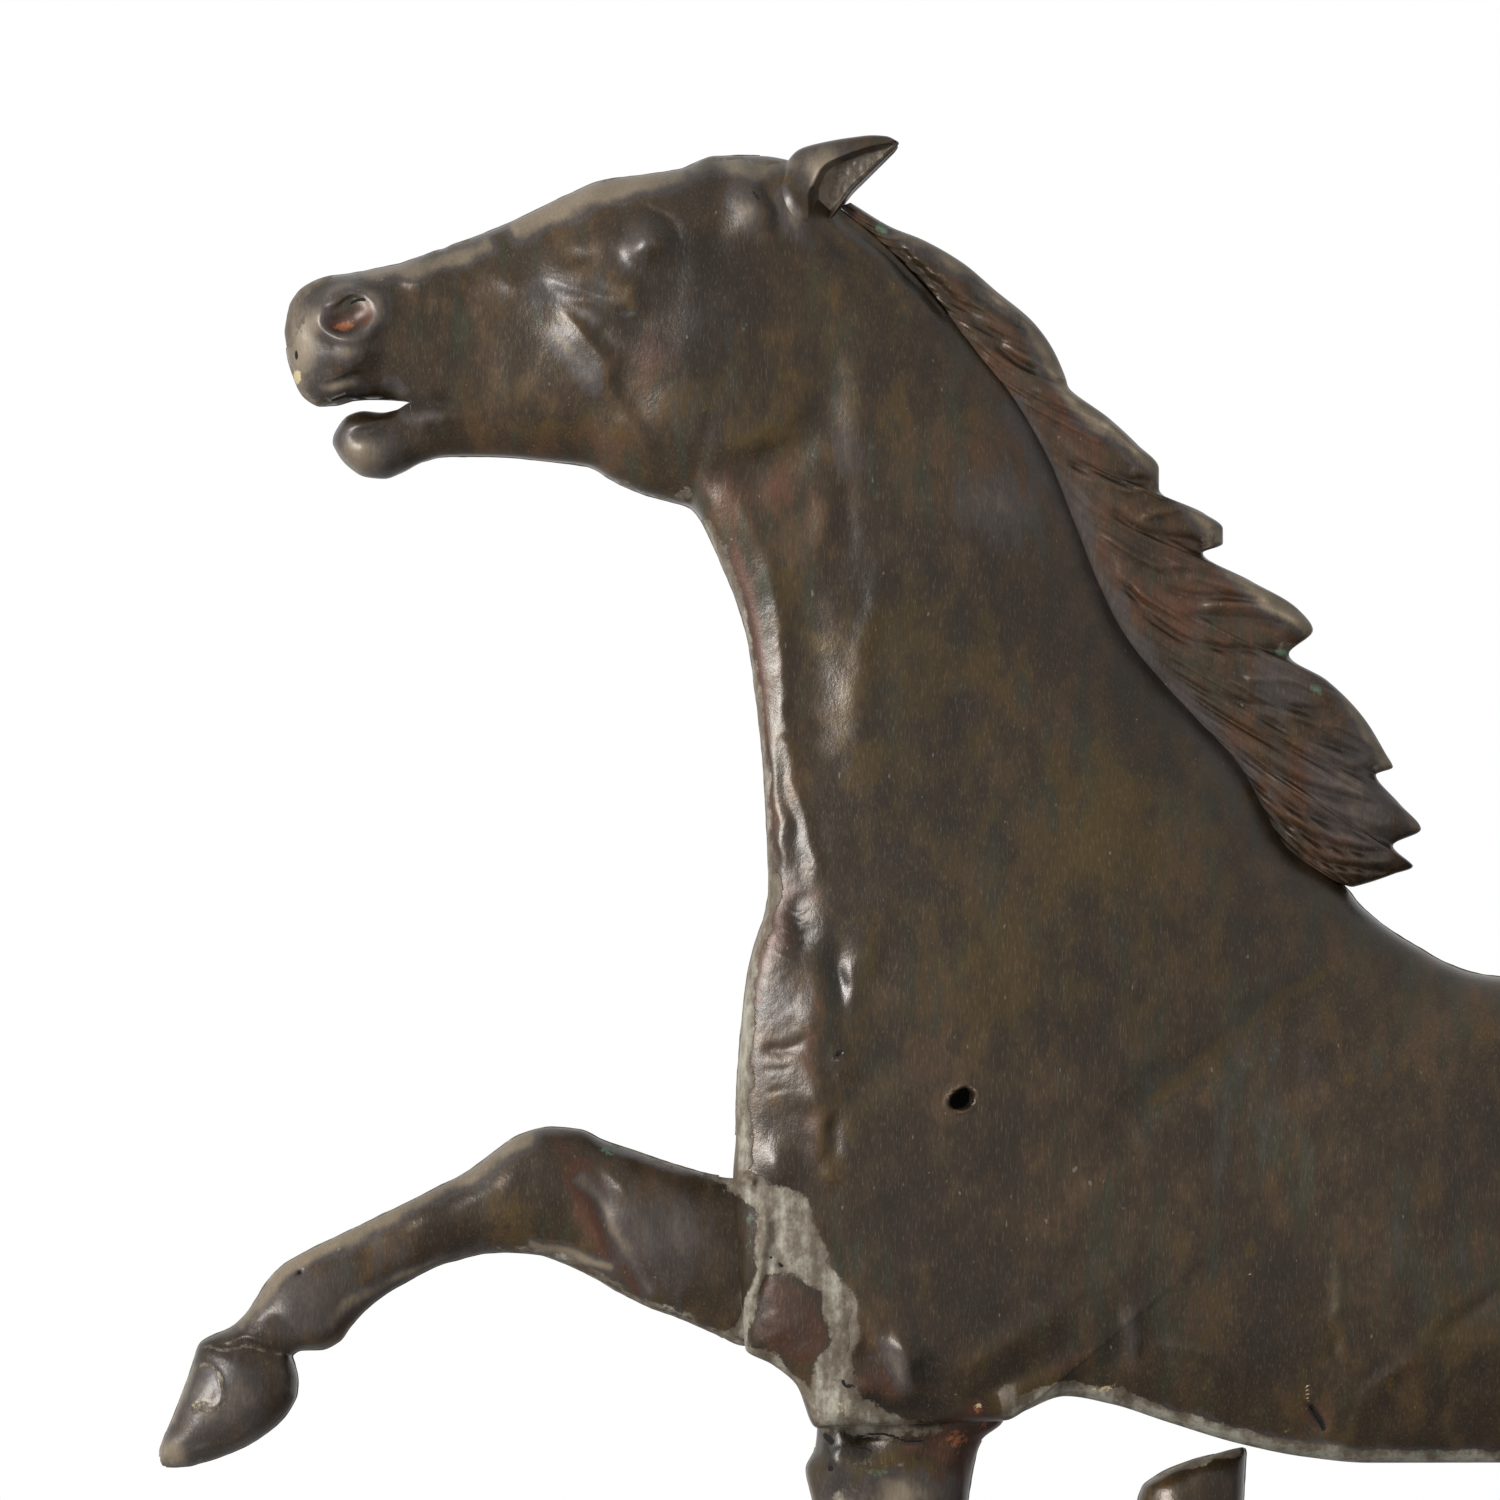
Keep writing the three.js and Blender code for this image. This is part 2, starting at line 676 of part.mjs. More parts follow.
function buildBearing() {
  const plugRadius = tubeBore - seatGap;
  addPiece(
    figure,
    "spindle_tube",
    turned([
      [tubeBore, tubeBottom],
      [tubeRadius, tubeBottom],
      [tubeRadius, tubeTop],
      [tubeBore, tubeTop],
      [tubeBore, tubeBottom],
    ]),
    castBrass,
  );
  addPiece(
    figure,
    "bearing_cap",
    turned([
      [0, capPlugBottom + capSeatDepth],
      [ballRadius, capPlugBottom],
      [plugRadius, capPlugBottom],
      [plugRadius, tubeTop + seatGap],
      [tubeRadius, tubeTop + seatGap],
      [tubeRadius, tubeTop + seatGap + capThickness],
      [0, tubeTop + seatGap + capThickness],
    ]),
    castBrass,
  );
  const bushTop = tubeBottom + bushLength;
  const flangeTop = tubeBottom - seatGap;
  addPiece(
    figure,
    "lower_bushing",
    turned([
      [rodRadius + runningGap, flangeTop - bushFlangeThickness],
      [bushFlangeRadius, flangeTop - bushFlangeThickness],
      [bushFlangeRadius, flangeTop],
      [plugRadius, flangeTop],
      [plugRadius, bushTop],
      [rodRadius + runningGap, bushTop],
      [rodRadius + runningGap, flangeTop - bushFlangeThickness],
    ]),
    castBrass,
  );
}

// More than the body's half thickness anywhere
const bodyReach = () => 2 * Math.max(...bodyRibs.map(([, , , , half]) => half)) * pixel;

// A flat stiffener across the hollow body, with a hole for the tube.
function braceAt(height) {
  const plate = new THREE.BoxGeometry(braceLength, 2 * bodyReach(), braceThickness).translate(0, 0, height);
  const hollow = envelope(bodyRibs, -(sheetThickness + seatGap), bodyForm);
  const hole = uprightCylinder(tubeRadius + seatGap, height - cutOverrun, height + cutOverrun);
  return cut(overlap(plate, hollow), hole);
}

const tubeNotch = () => uprightCylinder(tubeRadius + seatGap, tubeBottom - cutOverrun, tubeTop);

function buildBody() {
  for (const [name, side] of sides) {
    const trunk = halfShell(bodyRibs, side, { ...bodyForm, closedStart: true, closedEnd: true });
    const jaw = halfShell(jawRibPixels, side, { ...limbForm, closedStart: true });
    addPiece(figure, `body_shell_${name}`, cut(join(trunk, jaw), tubeNotch()), copper);
  }
  addPiece(figure, "upper_brace", braceAt(tubeTop - braceFromTubeEnd), castBrass);
  addPiece(figure, "lower_brace", braceAt(tubeBottom + tubeBelowBelly + braceFromTubeEnd), castBrass);
}

// Ribs carried on a little way inside the body, whose skin then trims them to the crest of the neck.
const reachingInwards = (ribs) =>
  ribs.map((rib) => {
    const share = -maneReach / ribWidth(rib);
    return [mix(rib[0], rib[2], share), mix(rib[1], rib[3], share), ...rib.slice(2)];
  });

// An ear is a closed horn that leans outwards from its root to its tip.
function earOn(side) {
  const horn = envelope(earRibPixels, 0, limbForm);
  const { array } = horn.getAttribute("position");
  const rootX = alongX(earRibPixels[0][0]);
  const tipX = alongX(earRibPixels.at(-1)[0]);
  for (let vertex = 0; vertex < array.length; vertex += 3) {
    const share = (array[vertex] - rootX) / (tipX - rootX);
    array[vertex + 1] += side * mix(earRootSpread, earTipSpread, share);
  }
  return horn;
}

function buildManeAndEars() {
  const skin = envelope(bodyRibs, seatGap, bodyForm);
  const maneForm = { ...limbForm, columns: maneColumns, fullness: maneFullness };
  for (const [name, side] of sides) {
    const locks = halfShell(reachingInwards(maneRibPixels), side, {
      ...maneForm,
      closedStart: true,
      closedEnd: true,
    });
    addPiece(figure, `mane_${name}`, cut(locks, skin), copper);
    addPiece(figure, `ear_${name}`, cut(earOn(side), skin), copper);
  }
}

function buildTail() {
  const { from, to, half } = tailJointPixels;
  const awayFromRump = [to[1] - from[1], from[0] - to[0]];
  const ribs = [rootRib({ from: to, to: from, half }, awayFromRump), ...tailRibPixels];
  for (const [name, side] of sides) {
    addPiece(figure, `tail_${name}`, halfShell(ribs, side, { ...limbForm, closedEnd: true }), copper);
  }
}

function buildLegs() {
  const { from, to, half } = raisedLegJointPixels;
  const legs = [
    ["left_foreleg", { from: to, to: from, half }, [-1, 0.07], raisedLegRibPixels, -foreLegSpread],
    ["right_foreleg", foldedLegJointPixels, [0.04, 1], foldedLegRibPixels, foreLegSpread],
    ["right_hind_leg", farHindJointPixels, [-0.37, 0.93], farHindRibPixels, hindLegSpread],
    ["left_hind_leg", nearHindJointPixels, [0.7, 0.7], nearHindRibPixels, -hindLegSpread],
  ];
  for (const [name, joint, towards, ribs, spread] of legs) {
    const outerSide = Math.sign(spread);
    const form = { ...limbForm, spread, closedEnd: true };
    const allRibs = [rootRib(joint, towards), ...ribs];
    addPiece(figure, `${name}_outer_half`, halfShell(allRibs, outerSide, form), copper);
    addPiece(figure, `${name}_inner_half`, halfShell(allRibs, -outerSide, form), copper);
  }
}

// A sheet that follows the left shoulder just outside the body shell, within the patch's outline.
function buildPatch() {
  const outline = new THREE.Shape(patchPixels.map(([x, y]) => new THREE.Vector2(alongX(x), alongZ(y))));
  const prism = new THREE.ExtrudeGeometry(outline, { depth: bodyReach(), bevelEnabled: false });
  const outside = envelope(bodyRibs, seatGap + patchThickness, bodyForm);
  const inside = envelope(bodyRibs, seatGap, bodyForm);
  const onLeft = prism.rotateX(Math.PI / 2);
  addPiece(figure, "shoulder_patch", cut(overlap(outside, onLeft), inside), bareCopper);
}

buildSpindle();
buildBearing();
buildBody();
buildManeAndEars();
buildTail();
buildLegs();
buildPatch();

export default vane;
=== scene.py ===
"""Looks of the copper horse weathervane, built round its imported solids.

The sheet copper is worked out in the photograph's pixels, x to the right and y down, and then placed in
metres: a pixel is 0.32 mm, the horse faces -X and its left side is -Y.
"""

from __future__ import annotations

import logging
import math
from dataclasses import dataclass
from enum import Enum, IntEnum

import bpy
import numpy as np
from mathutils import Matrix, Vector


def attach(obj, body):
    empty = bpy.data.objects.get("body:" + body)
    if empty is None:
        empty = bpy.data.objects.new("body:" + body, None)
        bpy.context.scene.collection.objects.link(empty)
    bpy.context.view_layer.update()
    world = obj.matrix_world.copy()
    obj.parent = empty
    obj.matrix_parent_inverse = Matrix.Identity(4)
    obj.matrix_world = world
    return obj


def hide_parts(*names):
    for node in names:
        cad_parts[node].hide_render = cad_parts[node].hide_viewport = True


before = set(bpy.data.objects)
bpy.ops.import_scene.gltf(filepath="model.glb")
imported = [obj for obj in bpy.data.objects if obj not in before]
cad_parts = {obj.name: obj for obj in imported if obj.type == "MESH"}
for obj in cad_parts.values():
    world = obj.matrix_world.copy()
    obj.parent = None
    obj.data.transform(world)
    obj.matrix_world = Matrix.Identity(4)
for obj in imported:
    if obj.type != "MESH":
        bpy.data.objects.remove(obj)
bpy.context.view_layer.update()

log = logging.getLogger("weathervane")

Point = tuple[float, float]
Piece = bpy.types.Object
Material = bpy.types.Material
Node = bpy.types.Node
Socket = bpy.types.NodeSocket

Place = tuple[float, float, float]
Colour = tuple[float, float, float]
Rib = tuple[float, ...]


class Side(Enum):
    """Which half of the figure a sheet belongs to. Its value is the sign of Y on that side."""

    LEFT = -1
    RIGHT = 1

    @property
    def word(self) -> str:
        """Returns the side's name as it stands in the names of pieces and nodes."""
        return self.name.lower()

    @property
    def other(self) -> "Side":
        """Returns the other side."""
        return Side(-self.value)


class Mark(IntEnum):
    """What lies on the copper, with painted highlight and painted shade, in the order of the channels that
    the finish reads.
    """

    SOLDER = 0
    VERDIGRIS = 1
    RED = 2
    OCHRE = 3
    # Grey tint and pale film: partly patina and wear, partly painted sheen and highlight
    GREY_FILM_AND_SHEEN = 4
    # Painted shade: near-black in holes, slits, cracks and creases
    BLACK = 5
    # Lighter crests: partly rubbed wear, partly painted highlight
    CREST_WEAR_AND_HIGHLIGHT = 6
    # Painted shade: darker hollows, creases and places turned away from the light
    PAINTED_SHADE = 7
    PALE = 8


@dataclass(frozen=True)
class PhotoFrame:
    """How the photograph's pixels lie in the part's frame."""

    pixel: float = 0.787 / 2460
    spindle_pixel: float = 1570.0
    lowest_pixel: float = 2117.0
    lift: float = 0.090
    middle_pixel: float = 750.0
    width_pixels: float = 1500.0

    def place(self, x: np.ndarray, y: np.ndarray, stand: np.ndarray) -> np.ndarray:
        """Turns pixels and a distance along Y, in metres, into points of the part's frame."""
        across, out, down = np.broadcast_arrays(x, stand, y)
        east = (across - self.spindle_pixel) * self.pixel
        up = (self.lowest_pixel - down) * self.pixel + self.lift
        return np.stack([east, out, up], axis=-1)


PHOTO = PhotoFrame()


def eased(share: np.ndarray) -> np.ndarray:
    """Rises from 0 to 1 as 3s^2 - 2s^3, and stays level outside that range."""
    share = np.clip(share, 0, 1)
    return share * share * (3 - 2 * share)


def through(knots: np.ndarray, values: np.ndarray, at: np.ndarray) -> np.ndarray:
    """Draws a smooth line through values without overshooting them.

    A cubic runs between each two knots. Its slope at a knot is the weighted harmonic mean of the slopes on
    either side, or level where these differ in sign.

    Args:
        knots: rising positions, one for each row of values.
        values: rows of numbers.
        at: positions at which the line is wanted.

    Returns:
        One row of numbers for each position.
    """
    step = np.diff(knots)[:, None]
    slope = np.diff(values, axis=0) / step
    before, after = 2 * step[1:] + step[:-1], step[1:] + 2 * step[:-1]
    same = slope[:-1] * slope[1:] > 0
    safe_low = np.where(same, slope[:-1], 1)
    safe_high = np.where(same, slope[1:], 1)
    inner = np.where(same, (before + after) / (before / safe_low + after / safe_high), 0)
    slopes = np.vstack([slope[:1], inner, slope[-1:]])
    cell = np.clip(np.searchsorted(knots, at, "right") - 1, 0, len(knots) - 2)
    width = step[cell]
    t = (at - knots[cell])[:, None] / width
    return (
        (2 * t**3 - 3 * t**2 + 1) * values[cell]
        + (t**3 - 2 * t**2 + t) * width * slopes[cell]
        + (3 * t**2 - 2 * t**3) * values[cell + 1]
        + (t**3 - t**2) * width * slopes[cell + 1]
    )


def pairs(numbers: tuple[float, ...]) -> np.ndarray:
    """Returns numbers that run x, y, x, y as one row for each point."""
    return np.array(numbers, float).reshape(-1, 2)


def summed(lengths: np.ndarray) -> np.ndarray:
    """Returns how far along a line its corners lie, from the lengths between them."""
    return np.concatenate([[0], np.cumsum(lengths)])


def smooth_line(corners: np.ndarray, count: int) -> np.ndarray:
    """Returns count points, evenly spaced, on a smooth line through the given corners."""
    knots = summed(np.hypot(*np.diff(corners, axis=0).T))
    return through(knots, corners, np.linspace(0, knots[-1], count))


def nearest_on(line: np.ndarray, x: np.ndarray, y: np.ndarray) -> tuple[np.ndarray, np.ndarray, np.ndarray]:
    """Finds the nearest place on a line of straight pieces, by projecting every point on each piece in turn.

    Args:
        line: the corners of the line.
        x: pixels across.
        y: pixels down.

    Returns:
        The distance, the share of the line's length, and the side of it, 1 to its right and -1 to its left.
    """
    lengths = np.hypot(*np.diff(line, axis=0).T)
    starts = summed(lengths)
    best = np.full(x.shape, np.inf)
    along = np.zeros(x.shape)
    hand = np.ones(x.shape)
    for (ax, ay), (bx, by), length, start in zip(line[:-1], line[1:], lengths, starts[:-1]):
        dx, dy = bx - ax, by - ay
        t = np.clip(((x - ax) * dx + (y - ay) * dy) / max(length * length, 1e-9), 0, 1)
        gap = np.hypot(x - ax - t * dx, y - ay - t * dy)
        closer = gap < best
        best = np.where(closer, gap, best)
        along = np.where(closer, (start + t * length) / starts[-1], along)
        hand = np.where(closer, np.where(dx * (y - ay) - dy * (x - ax) > 0, 1.0, -1.0), hand)
    return best, along, hand


def ripple(x: np.ndarray, y: np.ndarray, length: float, seed: int, waves: int = 22) -> np.ndarray:
    """Sums plane waves of about one length in seeded directions and phases, to a height of about -1 to 1."""
    rng = np.random.default_rng(seed)
    turn = rng.uniform(0, 2 * np.pi, waves)
    size = 2 * np.pi / (length * rng.uniform(0.7, 1.5, waves))
    phase = rng.uniform(0, 2 * np.pi, waves)
    total = np.zeros(np.broadcast(x, y).shape)
    for a, k, p in zip(turn, size, phase):
        total += np.cos(k * (np.cos(a) * x + np.sin(a) * y) + p)
    return total / math.sqrt(waves)


# How many widths away from its middle a form still counts
FORM_REACH = 2.6


@dataclass(frozen=True)
class Line:
    """A ridge or groove, or a streak of a mark, along a smooth line.

    Across the line it is exp(-(distance / width)^2), and it fades in over its first and last share of length.
    far is the width on the right of the line, if that differs.
    """

    points: tuple[float, ...]
    rise: float
    width: float
    far: float = 0.0
    fade: float = 0.3

    def amount(self, x: np.ndarray, y: np.ndarray) -> np.ndarray:
        """Returns the rise at each pixel."""
        line = smooth_line(pairs(self.points), 2 * len(self.points) + 1)
        near, along, hand = nearest_on(line, x, y)
        width = np.where(hand > 0, self.far or self.width, self.width)
        ends = eased(np.minimum(along, 1 - along) / self.fade) if self.fade else 1.0
        return self.rise * np.exp(-((near / width) ** 2)) * ends

    def box(self) -> tuple[np.ndarray, np.ndarray]:
        """Returns the corners of the pixels that it can reach."""
        reach = FORM_REACH * max(self.width, self.far)
        corners = pairs(self.points)
        return corners.min(0) - reach, corners.max(0) + reach


@dataclass(frozen=True)
class Ellipse:
    """A leaning ellipse, by its centre and its half widths."""

    x: float
    y: float
    across: float
    down: float

    def radius(self, x: np.ndarray, y: np.ndarray, turn: float) -> np.ndarray:
        """Returns how far out pixels lie, as multiples of the ellipse when that is turned by some degrees."""
        c, s = math.cos(math.radians(turn)), math.sin(math.radians(turn))
        dx, dy = x - self.x, y - self.y
        return np.hypot((c * dx + s * dy) / self.across, (c * dy - s * dx) / self.down)

    def square(self, reach: float) -> tuple[np.ndarray, np.ndarray]:
        """Returns the corners of the square that reaches so far from the centre."""
        centre = np.array([self.x, self.y])
        return centre - reach, centre + reach


@dataclass(frozen=True)
class Spot(Ellipse):
    """A swelling or dimple, or a blot of a mark: exp(-r^power), where r is 1 on its own ellipse."""

    rise: float
    turn: float = 0.0
    power: float = 2.0

    def amount(self, x: np.ndarray, y: np.ndarray) -> np.ndarray:
        """Returns the rise at each pixel."""
        return self.rise * np.exp(-(self.radius(x, y, self.turn) ** self.power))

    def box(self) -> tuple[np.ndarray, np.ndarray]:
        """Returns the corners of the pixels that it can reach."""
        return self.square(FORM_REACH * max(self.across, self.down))


@dataclass(frozen=True)
class Ring(Ellipse):
    """A rim along an ellipse: exp(-(distance from it / width)^2)."""

    width: float
    rise: float
    turn: float = 0.0

    def amount(self, x: np.ndarray, y: np.ndarray) -> np.ndarray:
        """Returns the rise at each pixel."""
        gap = (self.radius(x, y, self.turn) - 1) * min(self.across, self.down)
        return self.rise * np.exp(-((gap / self.width) ** 2))

    def box(self) -> tuple[np.ndarray, np.ndarray]:
        """Returns the corners of the pixels that it can reach."""
        return self.square(max(self.across, self.down) + FORM_REACH * self.width)


@dataclass(frozen=True)
class Area:
    """A field with corners, of half its rise on the outline and all of it from the soft distance inside."""

    points: tuple[float, ...]
    rise: float
    soft: float

    def amount(self, x: np.ndarray, y: np.ndarray) -> np.ndarray:
        """Returns the rise at each pixel."""
        corners = pairs(self.points + self.points[:2])
        inside = np.zeros(x.shape, bool)
        for (ax, ay), (bx, by) in zip(corners[:-1], corners[1:]):
            if ay != by:
                crossed = (ay > y) != (by > y)
                inside ^= crossed & (x < (bx - ax) * (y - ay) / (by - ay) + ax)
        gap = nearest_on(corners, x, y)[0] * np.where(inside, 1, -1)
        return self.rise * np.clip(0.5 + 0.5 * gap / self.soft, 0, 1)

    def box(self) -> tuple[np.ndarray, np.ndarray]:
        """Returns the corners of the pixels that it can reach."""
        corners = pairs(self.points)
        return corners.min(0) - self.soft, corners.max(0) + self.soft


Shape = Line | Spot | Ring | Area


def gathered(shapes: tuple[Shape, ...], x: np.ndarray, y: np.ndarray, highest: bool = False) -> np.ndarray:
    """Adds shapes up over a grid of pixels, working each one out only where it can reach.

    Args:
        shapes: the ridges, spots and areas.
        x: pixels across.
        y: pixels down.
        highest: keep the largest amount in place of the sum.

    Returns:
        The total at each pixel.
    """
    total = np.zeros(x.shape)
    for shape in shapes:
        low, high = shape.box()
        near = (x > low[0]) & (x < high[0]) & (y > low[1]) & (y < high[1])
        if near.any():
            amount = shape.amount(x[near], y[near])
            total[near] = np.maximum(total[near], amount) if highest else total[near] + amount
    return total


def blurred(values: np.ndarray, reach: int) -> np.ndarray:
    """Averages a grid over a square of 2 * reach + 1 points, three times."""
    for _ in range(3):
        for axis in (0, 1):
            before = np.repeat(values.take([0], axis), reach + 1, axis)
            after = np.repeat(values.take([-1], axis), reach, axis)
            wide = np.concatenate([before, values, after], axis)
            sums = np.cumsum(wide, axis)
            size = values.shape[axis]
            high = sums.take(range(2 * reach + 1, 2 * reach + 1 + size), axis)
            values = (high - sums.take(range(size), axis)) / (2 * reach + 1)
    return values


@dataclass(frozen=True)
class RibTable:
    """Ribs of one sheet, each as lower x, y, upper x, y and half thickness.

    After these may follow its height at the lower and the upper edge, and its fullness at each of them.
    """

    ribs: tuple[Rib, ...]

    def padded(self) -> np.ndarray:
        """Returns the ribs as an array of nine columns."""
        return np.array([tuple(rib) + (0.0,) * (9 - len(rib)) for rib in self.ribs], float)

    def knots(self) -> np.ndarray:
        """Returns how far along each rib lies, measured by the edge that moves further."""
        moved = np.diff(self.padded()[:, :4], axis=0)
        return summed(np.maximum(np.hypot(*moved[:, :2].T), np.hypot(*moved[:, 2:].T)))

    def rows(self, shares: np.ndarray) -> np.ndarray:
        """Returns smooth ribs at shares of the way along."""
        knots = self.knots()
        return through(knots, self.padded(), shares * knots[-1])

    def share_of(self, rib: int) -> float:
        """Returns the share of the way along at which a rib lies."""
        knots = self.knots()
        return float(knots[rib] / knots[-1])


# How far each half's flat web lies from the middle plane, in metres
HALF_GAP = 0.00005

# How far a crest or hollow stands off its surroundings, in pixels, to be marked in full: a crest lightened as
# wear and painted highlight, a hollow darkened as painted shade
FORM_DEPTH = 3.0
STRAND_DEPTH = 2.6

# Where the cheek and the jaw meet
MOUTH_CORNER = Spot(430, 400, 42, 78, 1.0, 0, 3)
MOUTH_CORNER_CORE = Spot(414, 392, 22, 50, 1.0, 0, 3)


@dataclass
class SheetGrid:
    """A formed half of sheet copper: rows along the piece, columns from its lower to its upper edge."""

    x: np.ndarray
    y: np.ndarray
    height: np.ndarray
    side: Side
    lean: np.ndarray
    marks: np.ndarray

    def points(self) -> np.ndarray:
        """Returns the grid's points in metres."""
        stand = self.lean[:, None] + self.side.value * (HALF_GAP + self.height * PHOTO.pixel)
        return PHOTO.place(self.x, self.y, stand)

    def normals(self) -> np.ndarray:
        """Returns outward directions: the cross product of the slopes along rows and columns."""
        points = self.points()
        across = np.cross(np.gradient(points, axis=0), np.gradient(points, axis=1))
        across /= np.maximum(np.linalg.norm(across, axis=-1, keepdims=True), 1e-12)
        return across * np.sign((across[..., 1] * self.side.value).sum())

    def level_normals(self) -> np.ndarray:
        """Returns the normals, levelled at the corner of the mouth, where the cheek and the jaw meet."""
        normals = self.normals()
        normals[..., 0] *= 1 - gathered((MOUTH_CORNER,), self.x, self.y)
        near = gathered((MOUTH_CORNER_CORE,), self.x, self.y)[..., None]
        normals = normals * (1 - near) + near * np.array([0.0, self.side.value, 0.0])
        return normals / np.linalg.norm(normals, axis=-1, keepdims=True)

    def slice(self, first: int, last: int) -> "SheetGrid":
        """Returns the rows from first to last as a grid of their own."""
        cut = slice(first, last + 1)
        x, y, height, lean = (part[cut] for part in (self.x, self.y, self.height, self.lean))
        return SheetGrid(x, y, height, self.side, lean, self.marks[:, cut])

    def widths(self) -> np.ndarray:
        """Returns how long each row is, as a column."""
        return np.hypot(self.x[:, -1] - self.x[:, 0], self.y[:, -1] - self.y[:, 0])[:, None]

    def add_strands(self, worked: np.ndarray, reach: int, red: float) -> None:
        """Raises strands on the sheet and marks them: rubbed wear and painted highlight on crests, painted
        shade in hollows.

        Args:
            worked: their height at each point, in pixels.
            reach: how many points off the heights are compared, to tell a crest from a hollow.
            red: the least red that the hair has.
        """
        self.height = np.maximum(self.height + worked, 0)
        bent = (worked - blurred(worked, reach)) / STRAND_DEPTH
        self.marks[Mark.CREST_WEAR_AND_HIGHLIGHT] = np.clip(bent, 0, 1)
        self.marks[Mark.PAINTED_SHADE] = np.clip(-bent, 0, 1)
        self.marks[Mark.RED] = np.maximum(self.marks[Mark.RED], red)

    def mesh(self, name: str, normals: np.ndarray | None = None) -> Piece:
        """Makes a closed piece: the sheet, a flat web between its two edges, and a fan over each end.

        The number of columns is even, so that the fans close.

        Args:
            name: the piece's name.
            normals: outward directions to shade with, where the piece carries on in another one.

        Returns:
            The piece.
        """
        rows, columns = self.x.shape
        index = np.arange(rows * columns).reshape(rows, columns)
        skin = np.stack([index[:-1, :-1], index[1:, :-1], index[1:, 1:], index[:-1, 1:]], -1).reshape(-1, 4)
        web = np.stack([index[:-1, 0], index[:-1, -1], index[1:, -1], index[1:, 0]], -1)
        start, end, i = index[0], index[-1], np.arange(1, columns - 2, 2)
        caps = [
            np.stack([np.full_like(i, start[0]), start[i], start[i + 1], start[i + 2]], -1),
            np.stack([np.full_like(i, end[0]), end[i + 2], end[i + 1], end[i]], -1),
        ]
        faces = np.vstack([skin, web, *caps])
        return make_piece(name, self.points().reshape(-1, 3), faces, self.marks, normals)


def make_piece(
    name: str,
    points: np.ndarray,
    faces: np.ndarray,
    marks: np.ndarray | None = None,
    normals: np.ndarray | None = None,
) -> Piece:
    """Puts points and four-cornered faces into a mesh that encloses a positive volume.

    Args:
        name: the piece's name.
        points: one row of x, y and z for each vertex, in metres.
        faces: one row of four vertex numbers for each face.
        marks: what lies on the copper, one row for each Mark.
        normals: outward directions to shade with.

    Returns:
        The piece, linked to the scene.
    """
    a, b, c, d = (points[faces[:, corner]] for corner in range(4))
    volume = sum(np.einsum("ij,ij->i", a, np.cross(*pair)).sum() for pair in ((b, c), (c, d)))
    if volume < 0:
        faces = faces[:, ::-1]
    mesh = bpy.data.meshes.new(name)
    mesh.vertices.add(len(points))
    mesh.vertices.foreach_set("co", points.astype(np.float32).ravel())
    mesh.loops.add(faces.size)
    mesh.loops.foreach_set("vertex_index", faces.astype(np.int32).ravel())
    mesh.polygons.add(len(faces))
    mesh.polygons.foreach_set("loop_start", np.arange(0, faces.size, 4, dtype=np.int32))
    mesh.polygons.foreach_set("use_smooth", np.ones(len(faces), bool))
    mesh.update(calc_edges=True)
    if marks is not None:
        flat = marks.reshape(len(Mark), -1)
        for group in range(0, len(Mark), 3):
            layer = mesh.attributes.new(f"marks_{group // 3}", "FLOAT_COLOR", "POINT")
            colours = np.ones((len(points), 4), np.float32)
            colours[:, :3] = flat[group : group + 3].T
            layer.data.foreach_set("color", colours.ravel())
    if normals is not None:
        mesh.normals_split_custom_set_from_vertices(normals.reshape(-1, 3).tolist())
    piece = bpy.data.objects.new(name, mesh)
    bpy.context.scene.collection.objects.link(piece)
    return piece


def swept_bead(line: np.ndarray, radii: np.ndarray, around: int = 10) -> tuple[np.ndarray, np.ndarray]:
    """Carries a circle along a line that lies in an upright plane.

    Each ring's point is the line's point plus its radius times (cos a * sideways + sin a * Y).

    Args:
        line: points in metres, one row each.
        radii: the bead's radius at each point.
        around: points in each ring.

    Returns:
        The bead's points and its four-cornered faces, with both ends closed.
    """
    heading = np.gradient(line, axis=0)
    sideways = np.stack([heading[:, 2], np.zeros(len(line)), -heading[:, 0]], -1)
    sideways /= np.maximum(np.linalg.norm(sideways, axis=1, keepdims=True), 1e-12)
    turn = np.linspace(0, 2 * np.pi, around, endpoint=False)
    outwards = np.array([0.0, 1.0, 0.0])
    ring = sideways[:, None] * np.cos(turn)[:, None] + outwards * np.sin(turn)[:, None]
    points = (line[:, None] + radii[:, None, None] * ring).reshape(-1, 3)
    index = np.arange(len(points)).reshape(len(line), around)
    nxt = np.roll(index, -1, axis=1)
    skin = np.stack([index[:-1], nxt[:-1], nxt[1:], index[1:]], -1).reshape(-1, 4)
    half = np.arange(around // 2 - 1)
    start, end = index[0], index[-1]
    caps = [
        np.stack([start[half], start[around - 1 - half], start[around - 2 - half], start[half + 1]], -1),
        np.stack([end[half], end[half + 1], end[around - 2 - half], end[around - 1 - half]], -1),
    ]
    return points, np.vstack([skin, *caps])


# Finishes


